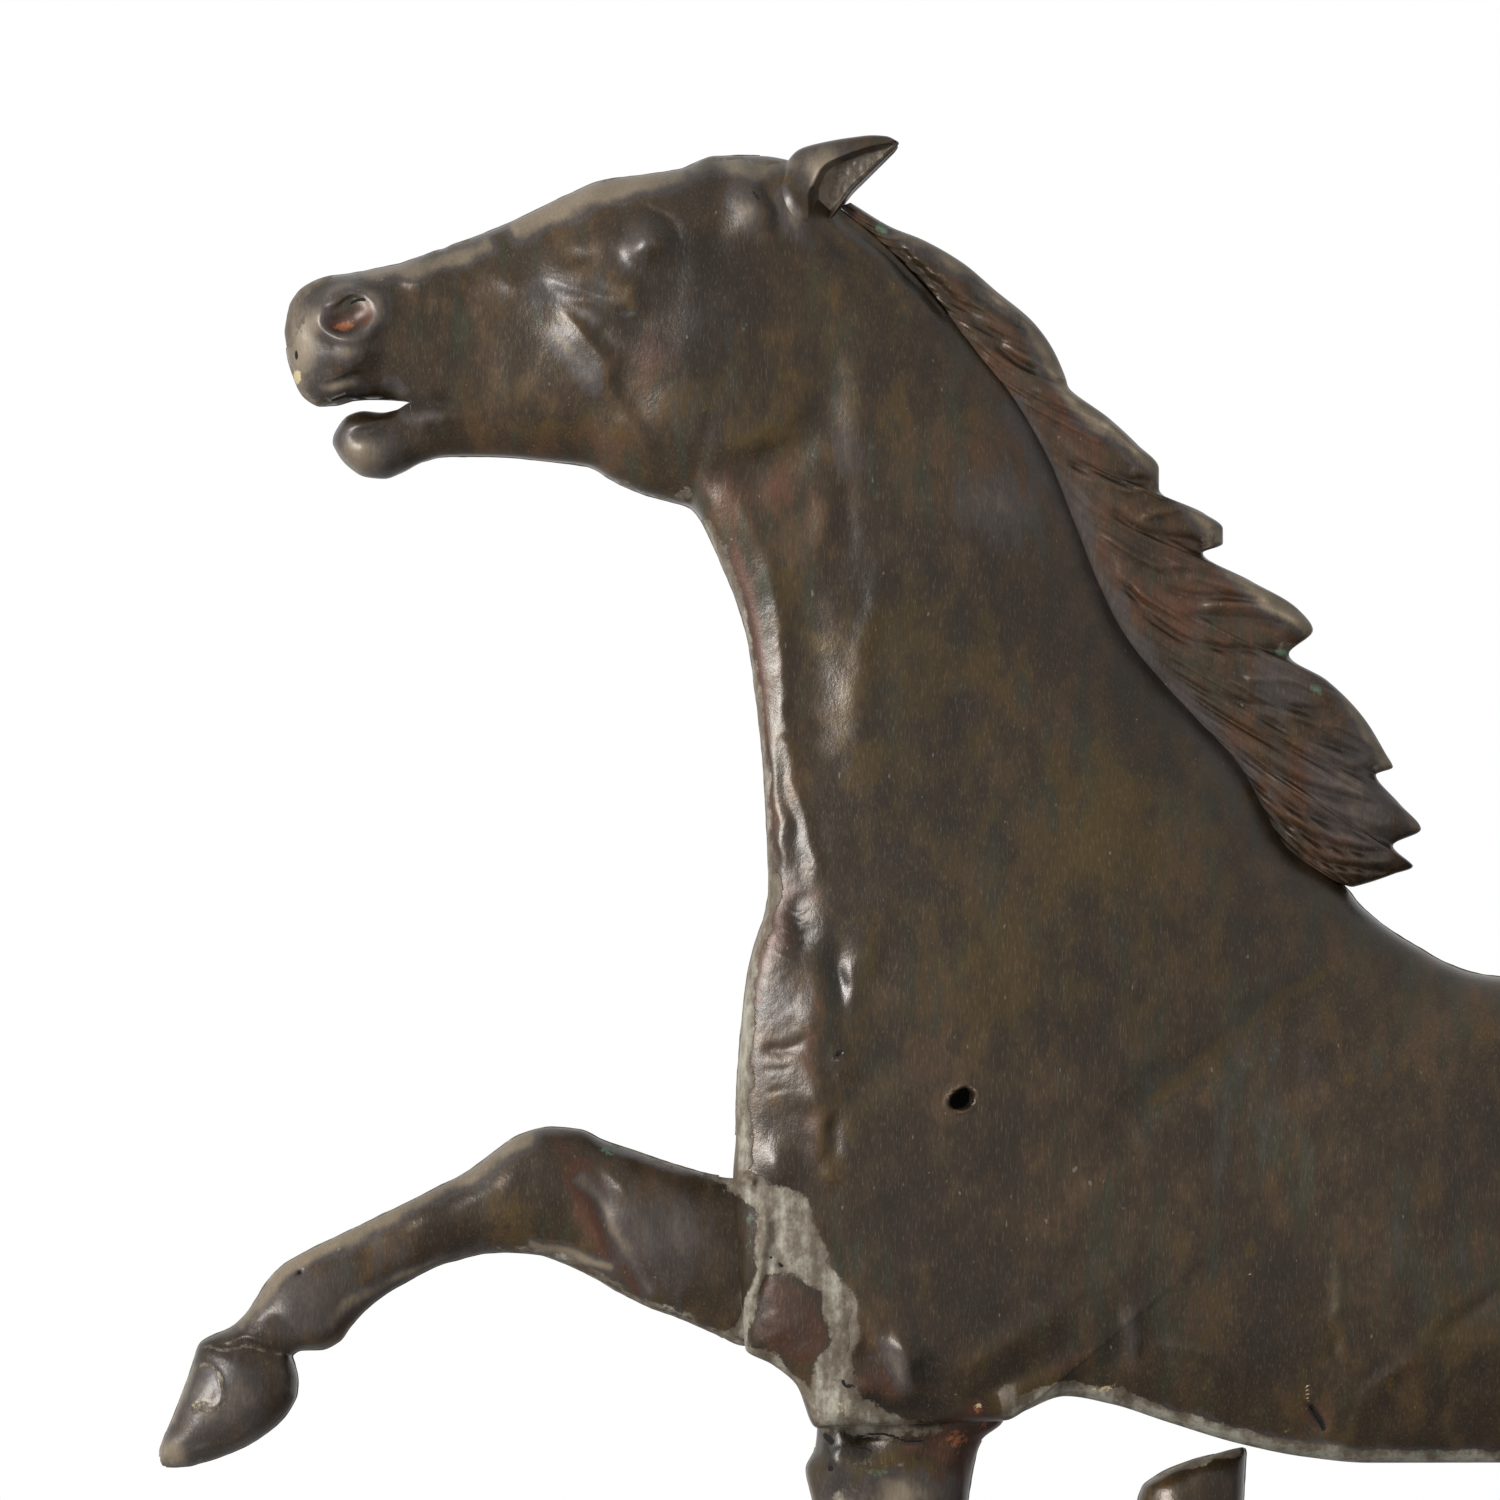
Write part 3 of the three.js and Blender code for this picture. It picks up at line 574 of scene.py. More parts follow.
@dataclass
class NodeBoard:
    """Adds and joins the nodes of one material or world."""

    tree: bpy.types.NodeTree

    def add(self, kind: str, **values: object) -> Node:
        """Adds a node of a kind and sets the named values on it."""
        node = self.tree.nodes.new(kind)
        for name, value in values.items():
            setattr(node, name, value)
        return node

    def feed(self, node: Node, socket: str | int, value: object) -> None:
        """Joins an output to a node's input, or sets the input to a plain value."""
        target = node.inputs[socket]
        if isinstance(value, Socket):
            self.tree.links.new(value, target)
        elif isinstance(value, tuple) and len(value) == 3 and target.type == "RGBA":
            target.default_value = (*value, 1.0)
        else:
            target.default_value = value

    def math(self, operation: str, a: object, b: object = 0.0, c: object = 0.0) -> Socket:
        """Returns the result of a sum of one, two or three numbers."""
        node = self.add("ShaderNodeMath", operation=operation)
        for slot, value in enumerate((a, b, c)):
            self.feed(node, slot, value)
        return node.outputs[0]

    def times(self, a: object, b: object) -> Socket:
        """Returns a times b."""
        return self.math("MULTIPLY", a, b)

    def plus(self, a: object, b: object) -> Socket:
        """Returns a plus b."""
        return self.math("ADD", a, b)

    def band(self, value: object, low: float, high: float) -> Socket:
        """Returns 0 below low and 1 above high, eased between them."""
        node = self.add("ShaderNodeMapRange", interpolation_type="SMOOTHSTEP")
        for slot, part in enumerate((value, low, high, 0.0, 1.0)):
            self.feed(node, slot, part)
        return node.outputs[0]

    def place(self) -> Socket:
        """Returns the object's own coordinates."""
        return self.add("ShaderNodeTexCoord").outputs["Object"]

    def noise(
        self,
        at: Socket,
        scale: float,
        stretch: Place = (1.0, 1.0, 1.0),
        detail: float = 3.0,
        roughness: float = 0.55,
        shift: float = 0.0,
    ) -> Socket:
        """Returns cloudy noise of about 0.25 to 0.75, stretched along each axis whose factor is below 1."""
        mapping = self.add("ShaderNodeMapping")
        self.feed(mapping, "Vector", at)
        mapping.inputs["Scale"].default_value = stretch
        mapping.inputs["Location"].default_value = (shift, shift * 0.7, shift * 1.3)
        node = self.add("ShaderNodeTexNoise", noise_dimensions="3D")
        self.feed(node, "Vector", mapping.outputs[0])
        for name, value in (("Scale", scale), ("Detail", detail), ("Roughness", roughness)):
            self.feed(node, name, value)
        return node.outputs[0]

    def mix(self, share: object, a: object, b: object, blend: str = "MIX") -> Socket:
        """Returns colour a turned into colour b by a share, or laid over it by another way of blending."""
        node = self.add("ShaderNodeMix", data_type="RGBA", blend_type=blend)
        self.feed(node, 0, share)
        self.feed(node, 6, a)
        self.feed(node, 7, b)
        return node.outputs[2]

    def blend_numbers(self, share: object, a: object, b: object) -> Socket:
        """Returns number a turned into number b by a share."""
        node = self.add("ShaderNodeMix", data_type="FLOAT")
        self.feed(node, 0, share)
        self.feed(node, 2, a)
        self.feed(node, 3, b)
        return node.outputs[0]

    def ramp(self, value: object, stops: tuple[tuple[float, Colour], ...]) -> Socket:
        """Returns colours laid along a number."""
        node = self.add("ShaderNodeValToRGB")
        steps = node.color_ramp.elements
        while len(steps) < len(stops):
            steps.new(0.5)
        for step, (position, colour) in zip(steps, stops):
            step.position, step.color = position, (*colour, 1.0)
        self.feed(node, 0, value)
        return node.outputs[0]

    def finish(
        self, shader: Node, colour: object, metallic: object, roughness: object, height: object
    ) -> None:
        """Feeds a metal's shader, whose normals are bent by a height in metres."""
        bump = self.add("ShaderNodeBump")
        for name, value in (("Strength", 1.0), ("Distance", 1.0), ("Height", height)):
            self.feed(bump, name, value)
        self.feed(shader, "Base Color", colour)
        self.feed(shader, "Metallic", metallic)
        self.feed(shader, "Roughness", roughness)
        self.feed(shader, "Normal", bump.outputs[0])


def new_material(name: str) -> tuple[Material, NodeBoard, Node]:
    """Makes a plain node material and returns it with its board and its shader."""
    material = bpy.data.materials.new(name)
    material.use_nodes = True
    board = NodeBoard(material.node_tree)
    shader = next(node for node in board.tree.nodes if node.type == "BSDF_PRINCIPLED")
    return material, board, shader


@dataclass(frozen=True)
class CopperPatina:
    """Brown-black weathered copper: streaks of ochre, red and grey, with the marks that the sheet carries,
    painted highlight and painted shade among them.
    """

    name: str = "aged_copper_patina"
    dark: Colour = (0.0270, 0.0166, 0.0076)
    brown: Colour = (0.0370, 0.0214, 0.0092)
    warm: Colour = (0.0620, 0.0355, 0.0160)
    ochre: Colour = (0.0600, 0.0360, 0.0065)
    green: Colour = (0.0260, 0.0275, 0.0135)
    red: Colour = (0.0640, 0.0235, 0.0120)
    rust: Colour = (0.300, 0.105, 0.042)
    # A grey-violet tint: partly patina, partly painted sheen where its mark lies
    grey_film_and_sheen: Colour = (0.0500, 0.0405, 0.0370)
    # A pale film: partly worn patina, partly painted highlight
    film: Colour = (0.225, 0.178, 0.120)
    solder_dark: Colour = (0.064, 0.046, 0.029)
    solder_middle: Colour = (0.128, 0.103, 0.073)
    solder_light: Colour = (0.340, 0.320, 0.260)
    verdigris: Colour = (0.110, 0.190, 0.125)
    pale: Colour = (0.420, 0.340, 0.200)
    # Near-black painted shade for holes, slits, cracks and creases
    opening_shade_colour: Colour = (0.004, 0.0035, 0.003)
    metallic: float = 0.2
    dull_metallic: float = 0.08
    dull_roughness: float = 0.62
    hole_roughness: float = 0.9
    glint: float = 0.38

    def build(self) -> Material:
        """Builds the material.

        Cloudy noise makes the patches of the patina and noise stretched along Z their grain. Each mark's soft
        field is added to finer noise, and the sum's rise past a half gives the mark its ragged edge.

        Returns:
            The material.
        """
        material, board, shader = new_material(self.name)
        at = board.place()
        marks = self.marks(board)
        cloud = board.noise(at, 24, (1, 0.3, 0.7), 6, 0.66)
        mottle = board.noise(at, 110, (1, 0.3, 0.6), 5, 0.62, 3.1)
        streak = board.noise(at, 150, (1, 0.3, 0.16), 4, 0.6, 6.6)
        broad = board.noise(at, 48, (1, 0.3, 0.6), 6, 0.66, 7.7)
        grain = board.noise(at, 1300, (1, 1, 0.10), 3, 0.6, 1.9)
        fine = board.noise(at, 900, (1, 1, 0.7), 4, 0.7, 5.3)
        ragged = board.noise(at, 260, (1, 1, 0.8), 6, 0.72, 2.2)

        tone = board.plus(board.times(cloud, 0.45), board.times(mottle, 0.55))
        colour = board.ramp(tone, ((0.42, self.dark), (0.50, self.brown), (0.58, self.warm)))
        # Each tint lies where the mean of two noises, plus a pull towards its mark, rises from low to high
        for tint, coarse, finer, mark, pull, low, high, most in (
            (self.green, cloud, streak, None, 0.0, 0.50, 0.60, 0.75),
            (self.ochre, broad, mottle, Mark.OCHRE, 0.22, 0.52, 0.68, 0.85),
            (self.red, mottle, cloud, Mark.RED, 0.26, 0.54, 0.76, 0.85),
            # The grey tint's pull towards its mark lays painted sheen as well as grey patina
            (self.grey_film_and_sheen, streak, cloud, Mark.GREY_FILM_AND_SHEEN, 0.26, 0.56, 0.74, 0.85),
        ):
            total = board.plus(board.times(coarse, 0.5), board.times(finer, 0.5))
            if mark is not None:
                total = board.plus(total, board.times(marks[mark], pull))
            colour = board.mix(board.times(board.band(total, low, high), most), colour, tint)
        # Pale film where the grey field is strong: partly worn patina, partly painted highlight on tops and
        # ridges that face the light
        film = self.ragged_mask(board, marks[Mark.GREY_FILM_AND_SHEEN], tone, 4.5, 0.9, 2.5)
        colour = board.mix(board.times(film, 0.75), colour, self.film)
        rust = board.plus(marks[Mark.RED], board.times(board.math("SUBTRACT", fine, 0.5), 1.6))
        colour = board.mix(board.band(rust, 1.45, 1.75), colour, self.rust)
        # Crests are lightened, partly as rubbed wear and partly as painted highlight; hollows are darkened as
        # painted shade
        lift = board.math("MULTIPLY_ADD", marks[Mark.CREST_WEAR_AND_HIGHLIGHT], 0.35, 1.0)
        hollow_shade = board.math("MULTIPLY_ADD", marks[Mark.PAINTED_SHADE], -0.36, 1.0)
        speckle = board.noise(at, 2000, (1, 1, 0.16), 3, 0.7, 8.8)
        grained = board.plus(board.times(grain, 0.6), board.math("MULTIPLY_ADD", speckle, 0.4, 0.45))
        swell = board.math("MULTIPLY_ADD", cloud, 1.6, 0.2)
        shade = board.times(board.times(lift, hollow_shade), board.times(grained, swell))
        colour = board.mix(1.0, colour, self.as_grey_film_and_sheen(board, shade), "MULTIPLY")
        speck = board.band(board.noise(at, 620, (1, 1, 0.45), 1, 0.5, 9.1), 0.765, 0.805)
        colour = board.mix(board.times(speck, 0.25), colour, self.solder_light)
        colour = board.mix(board.times(board.band(speckle, 0.52, 0.70), 0.16), colour, self.film)

        solder_mask = self.ragged_mask(board, marks[Mark.SOLDER], ragged, 1.25, 0.44, 0.60)
        verdigris_mask = self.ragged_mask(board, marks[Mark.VERDIGRIS], ragged, 1.5, 0.44, 0.76)
        pale_mask = self.ragged_mask(board, marks[Mark.PALE], fine, 1.2, 0.42, 0.62)
        # Near-black painted shade in holes, slits, cracks and creases
        opening_shade_mask = self.ragged_mask(board, marks[Mark.BLACK], fine, 0.5, 0.40, 0.60)
        clouds = board.plus(board.times(ragged, 0.45), board.times(streak, 0.55))
        thick = board.math("MULTIPLY_ADD", marks[Mark.SOLDER], 0.12, -0.10)
        solder_tone = board.ramp(
            board.plus(clouds, thick),
            ((0.38, self.solder_dark), (0.50, self.solder_middle), (0.64, self.solder_light)),
        )
        colour = board.mix(board.times(solder_mask, 0.9), colour, solder_tone)
        colour = board.mix(board.times(verdigris_mask, 0.75), colour, self.verdigris)
        colour = board.mix(pale_mask, colour, self.pale)
        # Painted shade: the openings go near-black
        colour = board.mix(opening_shade_mask, colour, self.opening_shade_colour)

        dull = board.math("MAXIMUM", board.math("MAXIMUM", solder_mask, verdigris_mask), pale_mask)
        roughness = board.math("MULTIPLY_ADD", mottle, 0.16, 0.22)
        roughness = board.math("MULTIPLY_ADD", marks[Mark.RED], 0.08, roughness)
        roughness = board.math("MULTIPLY_ADD", marks[Mark.GREY_FILM_AND_SHEEN], 0.05, roughness)
        roughness = board.plus(roughness, board.times(board.math("SUBTRACT", fine, 0.5), 0.07))
        roughness = board.blend_numbers(dull, roughness, self.dull_roughness)
        roughness = board.blend_numbers(opening_shade_mask, roughness, self.hole_roughness)
        board.feed(shader, "Specular IOR Level", self.glint)
        metallic = board.blend_numbers(dull, self.metallic, self.dull_metallic)
        board.finish(shader, colour, metallic, roughness, self.relief(board, at, fine, solder_mask))
        return material

    @staticmethod
    def marks(board: NodeBoard) -> list[Socket]:
        """Returns the fields that the sheet carries, one socket for each Mark."""
        fields = []
        for group in range(3):
            layer = board.add("ShaderNodeAttribute", attribute_name=f"marks_{group}")
            parts = board.add("ShaderNodeSeparateColor")
            board.feed(parts, 0, layer.outputs["Color"])
            fields += list(parts.outputs)[:3]
        return fields

    @staticmethod
    def ragged_mask(
        board: NodeBoard,
        mark: Socket,
        noise: Socket,
        reach: float,
        low: float,
        high: float,
    ) -> Socket:
        """Returns where a mark's field, roughened by noise, rises past a level.

        Args:
            board: the material's nodes.
            mark: the mark's field.
            noise: what roughens it, around a half.
            reach: how far the noise counts.
            low: the sum at which the mask starts.
            high: the sum at which it is full.

        Returns:
            The mask, which is 0 wherever the field is.
        """
        rough = board.times(board.math("SUBTRACT", noise, 0.5), reach)
        rough = board.times(rough, board.band(mark, 0.0, 0.2))
        return board.band(board.plus(mark, rough), low, high)

    @staticmethod
    def as_grey_film_and_sheen(board: NodeBoard, value: Socket) -> Socket:
        """Returns a number as a grey colour."""
        node = board.add("ShaderNodeCombineColor")
        for slot in range(3):
            board.feed(node, slot, value)
        return node.outputs[0]

    @staticmethod
    def relief(
        board: NodeBoard, at: Socket, fine: Socket, solder: Socket
    ) -> Socket:
        """Returns the height of the hammered sheet, its fine skin and the solder's lumps, in metres."""
        hammered = board.noise(at, 55, (1, 1, 0.7), 2, 0.5, 11.0)
        puckered = board.noise(at, 320, (1, 1, 1), 3, 0.6, 4.4)
        height = board.times(hammered, 0.00022)
        height = board.plus(height, board.times(puckered, 0.00009))
        height = board.plus(height, board.times(fine, 0.00008))
        lumps = board.times(board.times(puckered, solder), 0.00025)
        return board.plus(height, lumps)


@dataclass(frozen=True)
class SeamSolder:
    """Grey-green weathered solder."""

    name: str = "weathered_solder"
    dark: Colour = (0.060, 0.046, 0.032)
    middle: Colour = (0.130, 0.108, 0.080)
    light: Colour = (0.300, 0.275, 0.220)
    metallic: float = 0.2

    def build(self) -> Material:
        """Builds the material: ragged noise picks the tone, from brown film to bare grey solder."""
        material, board, shader = new_material(self.name)
        at = board.place()
        ragged = board.noise(at, 240, (1, 1, 1), 5, 0.65)
        fine = board.noise(at, 1200, (1, 1, 1), 4, 0.6, 2.0)
        tone = board.plus(board.times(ragged, 0.7), board.times(fine, 0.3))
        colour = board.ramp(tone, ((0.40, self.dark), (0.52, self.middle), (0.66, self.light)))
        height = board.plus(board.times(ragged, 0.0006), board.times(fine, 0.0001))
        board.finish(shader, colour, self.metallic, board.plus(board.times(fine, 0.3), 0.42), height)
        return material


@dataclass(frozen=True)
class RodIron:
    """Dark wrought iron with rust in its pits."""

    name: str = "weathered_iron"
    dark: Colour = (0.030, 0.028, 0.027)
    light: Colour = (0.085, 0.078, 0.072)
    rust: Colour = (0.170, 0.062, 0.026)
    metallic: float = 0.75
    rust_metallic: float = 0.1
    rust_roughness: float = 0.85
    pit_depth: float = 0.0005

    def build(self) -> Material:
        """Builds the material: stretched noise for the drawn grain, and ragged noise for the rust."""
        material, board, shader = new_material(self.name)
        at = board.place()
        drawn = board.noise(at, 300, (1, 1, 0.15), 4, 0.6)
        pits = board.noise(at, 420, (1, 1, 1), 6, 0.7, 5.0)
        cloud = board.noise(at, 55, (1, 1, 0.6), 3, 0.5, 2.0)
        colour = board.ramp(drawn, ((0.35, self.dark), (0.68, self.light)))
        rust = board.band(board.plus(pits, board.times(cloud, 0.5)), 0.80, 0.92)
        colour = board.mix(board.times(rust, 0.8), colour, self.rust)
        metallic = board.blend_numbers(rust, self.metallic, self.rust_metallic)
        roughness = board.blend_numbers(rust, board.plus(pits, 0.02), self.rust_roughness)
        board.finish(shader, colour, metallic, roughness, board.times(pits, self.pit_depth))
        return material


@dataclass(frozen=True)
class DullBrass:
    """Cast brass, browned by weather and brighter where the noise wears it."""

    name: str = "dull_cast_brass"
    brown: Colour = (0.110, 0.075, 0.032)
    worn: Colour = (0.420, 0.300, 0.120)
    metallic: float = 0.85
    sand_height: float = 0.00012

    def build(self) -> Material:
        """Builds the material: cloudy noise blends browned and worn brass, and fine noise is its sand."""
        material, board, shader = new_material(self.name)
        at = board.place()
        cloud = board.noise(at, 130, (1, 1, 0.5), 5, 0.65)
        sand = board.noise(at, 1600, (1, 1, 1), 3, 0.6, 3.0)
        colour = board.ramp(cloud, ((0.36, self.brown), (0.70, self.worn)))
        roughness = board.plus(board.times(sand, 0.35), 0.25)
        board.finish(shader, colour, self.metallic, roughness, board.times(sand, self.sand_height))
        return material


@dataclass(frozen=True)
class BearingSteel:
    """Polished steel with fine rubbing marks and a brown film."""

    name: str = "bearing_steel"
    bright: Colour = (0.560, 0.560, 0.570)
    film: Colour = (0.240, 0.190, 0.130)
    scratch_depth: float = 0.00003

    def build(self) -> Material:
        """Builds the material: thin stretched noise rubs the ball, and cloudy noise lays the film."""
        material, board, shader = new_material(self.name)
        at = board.place()
        rubbed = board.noise(at, 2500, (1, 1, 0.1), 3, 0.6)
        cloud = board.noise(at, 260, (1, 1, 1), 4, 0.6, 4.0)
        colour = board.mix(board.band(cloud, 0.50, 0.66), self.bright, self.film)
        roughness = board.plus(board.times(rubbed, 0.2), 0.08)
        board.finish(shader, colour, 1.0, roughness, board.times(rubbed, self.scratch_depth))
        return material


@dataclass(frozen=True)
class Finishes:
    """Every material of the vane, built once."""

    patina: Material
    solder: Material
    iron: Material
    brass: Material
    steel: Material

    @classmethod
    def build(cls) -> "Finishes":
        """Builds the materials."""
        return cls(*(look().build() for look in (CopperPatina, SeamSolder, RodIron, DullBrass, BearingSteel)))


# The sheet copper


@dataclass(frozen=True)
class Reliefs:
    """The forms worked into the sheet, in pixels: of both sides, and the left side's puckers and damage."""

    both: tuple[Shape, ...] = (
        # Nostril and lips
        Spot(349, 318, 46, 42, 6, 0, 2.4), Ring(350, 315, 29, 24, 7.5, 6, -14),
        Spot(349, 324, 21, 13, -6.5, -10, 3),
        Line((324, 309, 340, 301, 356, 297, 368, 302), 3.5, 5, 3, 0.3), Spot(353, 357, 22, 16, 8, 0, 2.6),
        Line((318, 381, 343, 376, 368, 369), 4, 9, 4, 0.35),
        Line((318, 391, 345, 388, 368, 385), 2, 6, 5, 0.3),
        Line((366, 380, 392, 384, 420, 399), 3.5, 10, 8, 0.4), Spot(402, 372, 14, 26, 2),
        # Jaw
        Spot(368, 421, 24, 10, 5, -10, 2.6),
        Line((348, 437, 362, 434, 378, 428, 392, 421), -3, 5, 7, 0.35), Spot(372, 456, 36, 24, 7, 0, 2.4),
        Line((386, 414, 420, 415, 452, 418, 486, 426), 5, 10, 14, 0.4),
        Line((398, 402, 424, 404, 456, 408), -9, 12, 9, 0.35),
        # Nose
        Line((350, 279, 382, 281, 416, 281, 447, 281, 472, 273), 4.5, 16, 8, 0.25),
        Line((458, 284, 449, 300, 444, 322), 3, 12, 20, 0.5),
        Line((476, 278, 512, 287, 552, 298), 3, 14, 12, 0.5),
        Line((440, 262, 500, 240, 556, 214), 3, 12, 20, 0.4),
        # Cheek ridge, from under the eye down to the jaw
        Line((550, 300, 576, 328, 598, 352, 608, 376, 614, 398, 624, 420), 7.5, 8, 26, 0.4),
        Line((608, 396, 622, 416, 642, 436, 672, 452), 3, 8, 18, 0.45),
        Line((618, 344, 622, 370, 634, 402, 656, 430), -3, 34, 14, 0.45), Spot(540, 404, 54, 44, 5),
        # Bags under the eye
        Line((530, 278, 566, 286, 600, 298, 634, 314), 4.5, 30, 8, 0.45),
        Line((556, 300, 582, 312, 610, 332), 3.5, 12, 10, 0.45),
        Line((628, 276, 635, 298, 632, 322), 4, 8, 24, 0.45), Spot(598, 291, 18, 7, -1.4, 10),
        Spot(656, 328, 36, 18, -3, 0, 2.4), Spot(672, 292, 28, 34, -2.5),
        # Eye and its lids
        Spot(590, 252, 36, 28, 2.5), Spot(649, 243, 21, 22, 15, 0, 2.2),
        Line((618, 221, 632, 215, 648, 213, 665, 220, 676, 240, 677, 264), -2.2, 7, 8, 0.4),
        Line((584, 236, 604, 212, 640, 201, 670, 208, 686, 232, 690, 270), 4, 20, 14, 0.4),
        Line((540, 221, 568, 210, 596, 202, 618, 203), 3, 10, 16, 0.45),
        Line((556, 260, 584, 257, 604, 248), -2, 9, 9, 0.45),
        Line((706, 212, 712, 240, 706, 278), -3, 18, 14, 0.45),
        # Brow
        Line((722, 148, 744, 184, 758, 214, 768, 252), 10, 12, 26, 0.42),
        Line((766, 154, 788, 192, 806, 230, 818, 268), 9, 14, 24, 0.42),
        Line((796, 200, 812, 226, 836, 250), 2, 4, 6, 0.4),
        Line((754, 180, 768, 210, 777, 244), -2.6, 7, 6, 0.4),
        # Round cheek
        Spot(732, 384, 94, 96, 5, 0, 3),
        Line((808, 290, 822, 330, 826, 372, 818, 414, 794, 446, 758, 466, 712, 474, 670, 462), -8, 26, 20,
            0.3),
        # Poll and crest
        Line((818, 203, 860, 233, 905, 270, 936, 300, 962, 334), -3, 5, 5, 0.2),
        Line((812, 212, 852, 244, 895, 280, 925, 310, 950, 342), 3, 6, 8, 0.2), Spot(897, 290, 9, 8, 3),
        Spot(911, 309, 9, 8, 3),
        # Neck
        Line((740, 500, 755, 530, 768, 566, 777, 604, 781, 644, 783, 690, 786, 736, 791, 768, 800, 798,
            809, 832, 816, 866, 820, 892), 2.2, 8, 10, 0.08),
        Line((790, 560, 808, 630, 812, 690, 818, 750, 834, 806), -3.5, 24, 20, 0.3),
        Line((842, 430, 840, 500, 838, 560, 842, 610), -3, 18, 16, 0.45),
        Line((830, 470, 828, 520, 824, 572), 4, 12, 15, 0.45),
        Line((892, 500, 888, 540, 880, 580, 871, 620, 862, 655, 858, 700, 856, 750, 850, 796), 2.7, 12,
            14, 0.45),
        # Chest
        Line((766, 700, 770, 760, 774, 800, 781, 840, 785, 890), 2.6, 10, 6, 0.3),
        Spot(832, 856, 26, 26, 1.6, 0, 2.2), Spot(816, 1020, 26, 38, 6, 10, 2.2),
        Spot(806, 1086, 26, 32, 5.5, -10, 2.2), Line((794, 888, 800, 925, 796, 960), -3.2, 14, 13, 0.35),
        Line((826, 920, 832, 965, 838, 1010, 830, 1050), -3.5, 12, 12, 0.45),
        Spot(1010, 1120, 190, 230, 8), Spot(1180, 900, 90, 80, 5),
        Line((1340, 955, 1240, 1030, 1130, 1110, 1105, 1190), -5, 28, 22, 0.2),
        Spot(1400, 1180, 150, 160, 6), Spot(1950, 1250, 130, 190, 14),
        # Raised leg
        Line((706, 1200, 650, 1190, 600, 1172), 3, 14),
        Line((584, 1140, 614, 1172, 644, 1214, 672, 1272), 5, 30, 14, 0.3),
        Line((574, 1156, 594, 1196, 622, 1240, 654, 1296), -3.5, 8, 10, 0.4),
        Line((566, 1170, 580, 1204, 604, 1250, 630, 1290), 3.5, 9, 14, 0.4), Spot(548, 1160, 34, 28, 3),
        Line((534, 1166, 490, 1190, 430, 1219, 366, 1250), 2, 14, 16, 0.35),
        Line((514, 1232, 468, 1246, 419, 1262, 364, 1290), -3, 6, 7, 0.4), Spot(300, 1304, 28, 26, 3.4),
        Spot(318, 1335, 16, 14, 5), Line((258, 1314, 280, 1322, 300, 1346), -3, 7, 7, 0.4),
        Line((200, 1345, 228, 1342, 262, 1346, 296, 1357), -3, 5, 5, 0.25),
        Line((214, 1333, 246, 1333, 284, 1348), 2.5, 7, 7, 0.4), Spot(232, 1388, 44, 34, 3, 20),
        Ring(207, 1384, 19, 20, 3, 1.3), Line((184, 1450, 230, 1440, 276, 1416), 2.5, 5),
    )
    puckered: tuple[Shape, ...] = (Spot(784, 1000, 34, 150, 0.09, 4, 3), Spot(776, 650, 14, 150, 0.05, 6, 3))
